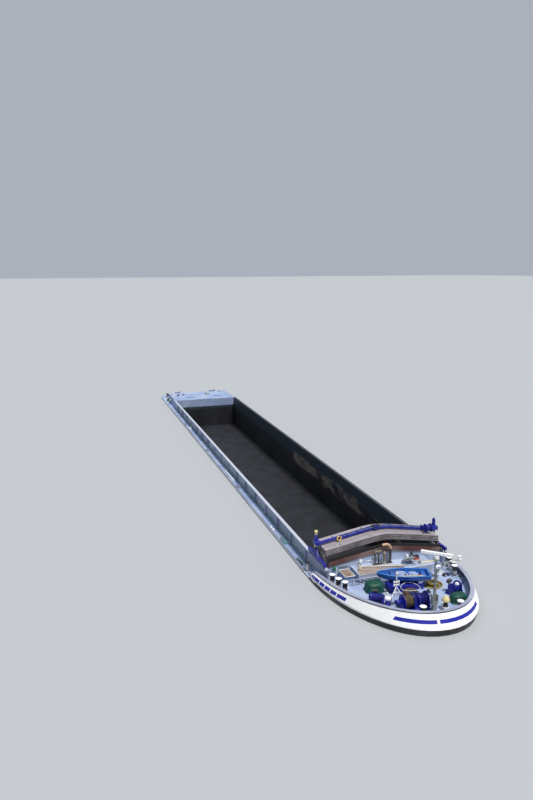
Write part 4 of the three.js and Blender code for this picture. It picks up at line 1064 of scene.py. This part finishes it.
# %% Capstan post, bit and chock
gear = Work()
post = at(2.1, 0.9, 0.9)
gear.block(WHITE, post + Vector((-0.15, -0.15, 0.0)), post + Vector((0.15, 0.15, 0.2)), 0.02)
barrel = [(0.15, 0.2), (0.15, 0.26), (0.12, 0.3), (0.12, 0.5), (0.15, 0.54)]
gear.turned(BLACK, post, barrel, 20)
cap = [(0.23, 0.54), (0.23, 0.60), (0.18, 0.71), (0.07, 0.83), (0.0, 0.84)]
gear.turned(CREAM, post, cap, 20)
bit = at(4.26, -1.72, 0.9)
gear.block(WHITE, bit + Vector((-0.09, -0.2, 0.0)), bit + Vector((0.09, 0.2, 0.05)), 0.01)
for y in (-0.11, 0.11):
    gear.bar(WHITE, [bit + Vector((0, y, 0.04)), bit + Vector((0, y, 0.34))], 0.055, 14)
gear.bar(WHITE, [bit + Vector((0, -0.22, 0.2)), bit + Vector((0, 0.22, 0.2))], 0.03, 10)
gear.bar(BLACK, arc(at(4.8, -1.39, 0.935), 0.15, 0, 360, 24), 0.03, 8)
gear.block(STEEL, at(3.66, -1.79, 0.905), at(3.46, -1.59, 0.99), 0.015)
gear.bar(STEEL, [at(3.56, -1.95, 1.0), at(3.50, -1.45, 1.0)], 0.035, 10)
trestle = at(7.44, -1.99, 1.86)
for foot in (at(7.40, -2.19, 1.45), at(7.40, -1.79, 1.45), at(7.52, -1.99, 1.45)):
    gear.bar(ZINC, [foot, trestle], 0.028, 8)
gear.bar(ZINC, [at(7.42, -2.12, 1.6), at(7.42, -1.86, 1.6)], 0.022, 8)
hand_rail = [at(7.28, -1.50, 1.47), at(7.28, -1.50, 1.86), at(7.28, -1.14, 1.86), at(7.28, -1.14, 1.47)]
gear.bar(WHITE, hand_rail, 0.022, 8)
gear.bar(BLACK, arc(at(5.76, 3.20, 0.96), 0.17, 30, 330, 20), 0.05, 10)
gear.piece("foredeck_gear", "white_paint")
print("the capstan post is", round(cap[-1][1], 2), "m high")

# %% Boxes, valves and poles
# finish, aft, port, height, then half sizes along x and y, and the full height
BOXES = [
    (RED, 7.36, 2.00, 1.452, 0.15, 0.17, 0.17),
    (BLACK, 7.36, 2.00, 1.62, 0.14, 0.16, 0.10),
    (WHITE, 4.76, 0.82, 1.272, 0.11, 0.13, 0.14),
    (ZINC, 7.10, 1.95, 1.452, 0.10, 0.22, 0.05),
    (WHITE, 7.62, 1.50, 1.55, 0.06, 0.07, 0.16),
    (BLACK, 7.62, 1.82, 1.68, 0.06, 0.06, 0.16),
    (WHITE, 7.62, -1.75, 1.62, 0.06, 0.09, 0.20),
    (ZINC, 7.65, -2.9, 1.55, 0.025, 0.30, 0.05),
    (WHITE, 6.45, 3.05, 0.903, 0.10, 0.16, 0.22),
    (PALE_BLUE, 6.95, 3.30, 0.903, 0.22, 0.22, 0.26),
    (STEEL, 4.30, 2.95, 0.903, 0.12, 0.10, 0.14),
    (WHITE, 3.05, -2.30, 0.903, 0.08, 0.08, 0.20),
    (BLACK, 6.10, 0.60, 0.903, 0.12, 0.20, 0.12),
    (STEEL, 6.05, 2.35, 0.903, 0.20, 0.12, 0.10),
]
# finish, aft, port, top height, radius
POLES = [
    (WHITE, 7.18, 2.95, 1.95, 0.026), (WHITE, 7.07, 3.26, 1.85, 0.026), (WHITE, 7.43, 4.02, 1.75, 0.026),
    (WHITE, 2.55, 1.00, 1.12, 0.05), (ZINC, 1.15, -0.15, 1.30, 0.045), (WHITE, 3.30, 1.05, 1.10, 0.06),
    (ZINC, 5.62, 2.55, 1.16, 0.07), (BLACK, 4.20, 1.05, 1.05, 0.09), (WHITE, 6.15, -3.30, 1.15, 0.05),
    (ZINC, 2.35, -2.35, 1.15, 0.05), (STEEL, 1.75, 0.42, 1.20, 0.06), (WHITE, 7.20, -3.55, 1.70, 0.022),
]
small = Work()
small.boxes(BOXES, 0.018)
for finish, aft, port, top, radius in POLES:
    foot = at(aft, port, 0.905)
    small.bar(finish, [foot, at(aft, port, top)], radius, 12)
    small.turned(finish, foot, [(radius * 1.9, 0), (radius * 1.9, 0.02)], 12)
small.bar(WHITE, [at(7.18, 2.95, 1.93), at(7.07, 3.26, 1.83)], 0.018, 8)
small.bar(WHITE, [at(6.77, 2.45, 1.47), at(6.77, 2.72, 1.47)], 0.018, 8)
lump(small, GREEN, at(7.60, -3.51, 1.46), (0.18, 0.22, 0.30), 5.0)
small.piece("deck_boxes_and_poles", "galvanised")
print(len(BOXES), "boxes and", len(POLES), "poles stand on the foredeck")

# %% Hoops round the coil and the tub; the black ring at the coil is painted shade
hoops = Work()
bent = []
for i in range(49):
    angle = FULL_TURN * i / 48
    reach = 0.52 + 0.03 * math.sin(3 * angle)
    middle = at(4.36, -0.05, 1.32 + 0.03 * math.sin(2 * angle + 1))
    bent.append(middle + Vector((reach * math.cos(angle), reach * 1.1 * math.sin(angle), 0)))
hoops.bar(WHITE, bent, 0.014, 6)
# finish, aft, port, height, radius of the hoop, radius of its section
HOOPS = [
    (YELLOW_ROPE, 3.88, -0.26, 1.10, 0.475, 0.028), (YELLOW_ROPE, 3.88, -0.26, 1.16, 0.49, 0.028),
    # the black ring round the deck coil is painted shade: it stands for the dark gaps between the coil's
    # turns
    (BLACK, 4.95, 1.80, 0.94, 0.50, 0.03), (YELLOW_ROPE, 4.95, 1.80, 0.945, 0.57, 0.03),
]
for finish, aft, port, height, reach, radius in HOOPS:
    hoops.bar(finish, arc(at(aft, port, height), reach, 0, 360, 40), radius, 8)
hoops.piece("coil_and_tub_hoops", "rope")
print(len(HOOPS) + 1, "hoops lie on the foredeck")

# %% [markdown]
# ## Mast, tripod and hatches
# The mast head carries a floodlight, a horn and lamps, and two conduits run up the mast.
# The tripod's cross arms end in small lamps. The store's lid has a frame and a handle,
# and stiffeners stand along the sides of the engine trunk.

# %% Mast head
head = Work(2.0, 0.10, FOREDECK)
head.block(WHITE, (0.10, -0.13, 2.72), (0.26, 0.13, 2.90), 0.03)
head.turned(PALE_BLUE, (0.26, 0.0, 2.81), [(0.075, 0), (0.075, 0.02), (0.0, 0.03)], 18, AHEAD)
head.bar(CREAM, [(0, -0.09, 3.12), (0, -0.96, 3.12)], 0.036, 12)
head.bar(GREEN, [(0, -0.96, 3.12), (0, -1.13, 3.12)], 0.038, 12)
lamp = [(0.10, 0), (0.10, 0.03), (0.08, 0.06), (0.08, 0.17), (0.105, 0.20), (0.0, 0.24)]
head.turned(WHITE, (0, 1.45, 2.985), lamp, 18)
lamp = [(0.08, 0), (0.08, 0.1), (0.05, 0.13), (0.0, 0.13)]
head.turned(WHITE, (0, 0.42, 2.78), lamp, 18, (0, 0, -1))
head.bar(BLACK, [(-0.088, 0.05, 0.8), (-0.085, 0.05, 1.8), (-0.075, 0.05, 3.05)], 0.018, 8)
head.bar(BLACK, [(-0.082, -0.04, 0.8), (-0.078, -0.04, 2.2), (-0.07, -0.03, 3.05)], 0.014, 8)
for z in (1.2, 1.8, 2.4):
    head.turned(ZINC, (0, 0, z), [(0.095, -0.02), (0.095, 0.02)], 20)
horn = [(0.05, -0.1), (0.06, 0.0), (0.13, 0.10), (0.13, 0.12), (0.10, 0.11)]
head.turned(WHITE, (0.30, 0.06, 2.60), horn, 20, (1, 0, -0.1))
head.piece("mast_head_gear", "white_paint", "mast")
print("the mast has a floodlight, a horn and two lamps")

# %% Tripod
tripod = Work(4.44, -0.95, FOREDECK)
tripod.turned(WHITE, (0, 0, 1.29), [(0.05, 0), (0.06, 0.03), (0.06, 0.12), (0.03, 0.16), (0.0, 0.16)], 14)
for z in (0.64, 0.83):
    for y in (-0.15, 0.15):
        tripod.turned(WHITE, (0, y, z - 0.05), [(0.05, 0), (0.05, 0.10), (0.0, 0.12)], 12)
fore_port, fore_starboard, rear = (0.09, 0.21, 0.2), (0.09, -0.21, 0.2), (-0.045, 0, 0.2)
for one, two in ((fore_starboard, fore_port), (fore_starboard, rear), (fore_port, rear)):
    tripod.bar(WHITE, [one, two], 0.016, 8)
tripod.piece("tripod_gear", "white_paint")
print("the tripod has four small lamps and one on top")

# %% Hatch lids and trunk
lid = Work(7.06, -2.91, FOREDECK + 0.462)
for x in (-0.49, 0.51):
    lid.block(WHITE, (x - 0.02, -0.335, 0.0), (x + 0.02, 0.335, 0.018), 0.005)
for y in (-0.32, 0.32):
    lid.block(WHITE, (-0.50, y - 0.015, 0.0), (0.52, y + 0.015, 0.018), 0.005)
lid.bar(STEEL, [(0.30, -0.1, 0.0), (0.30, -0.08, 0.05), (0.30, 0.08, 0.05), (0.30, 0.1, 0.0)], 0.014, 8)
lid.piece("store_lid_trim", "brown_paint", "store_hatch_lid")
edge = Work()
for y in (-2.405, 2.755):
    for aft in (6.6, 7.1, 7.55):
        edge.block(PALE_BLUE, at(aft + 0.02, y - 0.02, 0.92), at(aft - 0.02, y + 0.02, 1.40), 0.006)
edge.bar(ZINC, [at(6.41, -2.35, 1.42), at(6.41, 2.70, 1.42)], 0.028, 8)
for y in (-2.2, -1.3, -0.4, 0.5, 1.4, 2.3):
    edge.block(PALE_BLUE, at(6.405, y - 0.02, 0.92), at(6.375, y + 0.02, 1.40), 0.006)
edge.piece("trunk_trim", "deck_paint")
print("the store's lid has a frame and a handle, and the trunk has twelve stiffeners")

# %% [markdown]
# ## Gantry, reel and bulwark details
# The starboard post of the gantry has cream caps, the reel carries its wound cable, and
# stays hold the bulwark on the port side. A light fender strip runs along the deck edge.

# %% Gantry and reel
caps = Work(9.03, -4.195)
post_top = [(0.079, 5.80), (0.079, 5.99), (0.11, 6.0), (0.11, 6.09), (0.08, 6.11), (0.0, 6.11)]
collar = [(0.125, 5.06), (0.125, 5.17), (0.10, 5.19), (0.0, 5.19)]
for profile in (post_top, collar):
    caps.turned(CREAM, (0, 0, 0), profile, 16)
caps.piece("gantry_post_caps", "royal_blue", "gantry")

cable = Work(8.35, 3.36, 5.63)
cable.turned(CABLE, (0, 0, 0), wound(0.205, 0.135, 0.03), 28, PORT)
cable.turned(CABLE, (0, 0, 0), [(0.125, -0.135), (0.125, 0.135)], 24, PORT)
for y in (-0.193, 0.193):
    cable.bar(ROYAL, arc((0, y, 0), 0.262, 0, 360, 28, AHEAD, UP), 0.022, 8)
cable.piece("reel_cable", "royal_blue", "cable_reel")
print("the reel's cable is wound to a radius of 0.22 m")

# %% Bulwark stays on the port side and fender strips
stays = Work()
for aft, foot_y, head_y, top in ((5.9, 3.98, 4.02, 1.16), (6.6, 4.12, 4.14, 1.14), (7.3, 4.22, 4.24, 1.10)):
    stays.bar(STEEL, [at(aft - 0.35, foot_y - 0.1, 0.91), at(aft + 0.15, head_y, top)], 0.03, 8)
for side in (-1, 1):
    strip = [at(8.7 + 59.1 * i / 20, side * 4.752, 0.57) for i in range(21)]
    stays.bar(PALE_STEEL, strip, 0.04, 8)
stays.piece("stays_and_fender_strips", "galvanised")
print("each fender strip is 59.1 m long")

# %% Side deck and stern
# finish, aft, port, height, half sizes along x and y, full height
SIDE_BOXES = [
    (WHITE, 48.50, -4.45, 0.605, 0.30, 0.08, 0.16), (WHITE, 29.90, -4.46, 0.605, 1.55, 0.05, 0.10),
    (WHITE, 16.93, -4.62, 0.605, 0.10, 0.07, 0.16), (WHITE, 16.44, -4.62, 0.605, 0.10, 0.07, 0.16),
    (TEAL, 14.15, -4.50, 0.605, 0.30, 0.07, 0.12), (BLACK, 10.90, -4.58, 0.605, 0.55, 0.07, 0.05),
    (TEAL, 11.00, -4.42, 0.605, 0.20, 0.06, 0.06), (WHITE, 66.60, -4.45, 0.605, 0.15, 0.12, 0.16),
    (ZINC, 64.00, 1.05, 1.58, 0.30, 0.25, 0.20), (PALE_BLUE, 62.60, -1.60, 1.545, 0.35, 0.45, 0.10),
    (PALE_BLUE, 62.60, 2.20, 1.545, 0.35, 0.45, 0.10),
]
# finish, cap finish, aft, port, foot height, top height, radius
SIDE_POSTS = [
    (ZINC, BLACK, 9.50, -4.58, 0.70, 1.20, 0.09), (BLACK, WHITE, 65.40, -4.30, 0.605, 1.1, 0.12),
    (BLACK, WHITE, 63.70, -4.30, 0.605, 1.1, 0.10), (BLACK, BLACK, 64.65, 4.45, 0.605, 1.1, 0.12),
    (WHITE, WHITE, 62.25, -3.90, 1.54, 2.45, 0.05), (WHITE, WHITE, 63.20, -3.90, 1.54, 2.40, 0.05),
    (STEEL, STEEL, 63.90, -3.10, 1.54, 1.75, 0.12), (STEEL, STEEL, 64.20, -2.30, 1.54, 1.70, 0.10),
]
sides = Work()
sides.boxes(SIDE_BOXES, 0.015)
for finish, cap, aft, port, foot, top, radius in SIDE_POSTS:
    head = at(aft, port, top - 0.05)
    sides.bar(finish, [at(aft, port, foot), head], radius, 16)
    sides.turned(cap, head, [(radius * 1.3, 0), (radius * 1.3, 0.05), (0.0, 0.06)], 16)
for height, reach, finish in ((0.72, 4.135, TEAL), (0.82, 4.13, ZINC)):
    sides.bar(finish, [at(9.8 + 50.0 * i / 12, -reach, height) for i in range(13)], 0.03, 8)
sides.piece("side_deck_gear", "white_paint")
print(len(SIDE_BOXES), "boxes and", len(SIDE_POSTS), "posts stand on the side deck and the stern")

# %% [markdown]
# ## Waterline and light
# A barge afloat shows only what is above its waterline, so a plain floor lies there. It
# has a hole of the hull's own outline, because the hold reaches down below it. The
# light is soft, as under bright clouds, with a broad high sun from ahead and a little
# to port.

# %% Floor at the waterline
# How full the bow is, and how far the stern's corners are cut off along and across.
BOW_POWER = 2.05
CORNER_START = 1.6
CORNER_WIDE = 0.75
STERN_GAP = 0.15


def hull_outline(stem, reach, half, steps=40):
    """The hull's outline at the waterline, round the bow and then across the stern."""
    points = []
    for i in range(-steps, steps + 1):
        angle = abs(i) / steps * math.pi / 2
        along = stem + reach * (1 - math.cos(angle) ** (2 / BOW_POWER))
        across = half * math.sin(angle) ** (2 / BOW_POWER)
        points.append((along, math.copysign(across, i)))
    start, end = LENGTH - CORNER_START, LENGTH - STERN_GAP
    inner = half - CORNER_WIDE
    return points + [(start, half), (end, inner), (end, -inner), (start, -half)]


inside = [ship(a, p, WATERLINE) for a, p in hull_outline(0.42, 8.1, 4.62)]
FAR = 420.0
outside = []
for point in inside:
    direction = Vector((point.x, point.y * 6, 0)).normalized()
    outside.append(Vector((direction.x * FAR, direction.y * FAR, WATERLINE * SCALE)))
count = len(inside)
faces = [(i, (i + 1) % count, (i + 1) % count + count, i + count) for i in range(count)]
floor_mesh = bpy.data.meshes.new("floor")
floor_mesh.from_pydata(inside + outside, [], faces)
floor = bpy.data.objects.new("floor", floor_mesh)
bpy.context.scene.collection.objects.link(floor)
floor_finish = Finish("floor_paper", 0.9)
floor_finish.put(floor_finish.shader.inputs["Base Color"], paint("a9adb2"))
floor_mesh.materials.append(floor_finish.material)
print("the floor has a hole of", count, "corners")

# %% Light
world = bpy.data.worlds.new("studio")
bpy.context.scene.world = world
world.use_nodes = True
sky = world.node_tree.nodes["Background"]
sky.inputs["Color"].default_value = (0.80, 0.88, 1.0, 1)
sky.inputs["Strength"].default_value = 0.5
sun_data = bpy.data.lights.new("sun", "SUN")
sun_data.energy = 3.5
sun_data.angle = math.radians(12)
sun_data.color = (1.0, 0.96, 0.9)
sun = bpy.data.objects.new("sun", sun_data)
bpy.context.scene.collection.objects.link(sun)
sun.rotation_mode = "QUATERNION"
sun.rotation_quaternion = Vector((-0.42, -0.14, -1.0)).to_track_quat("-Z", "Y")
bpy.context.scene.view_settings.view_transform = "Standard"
print("the sun's strength is", sun_data.energy)
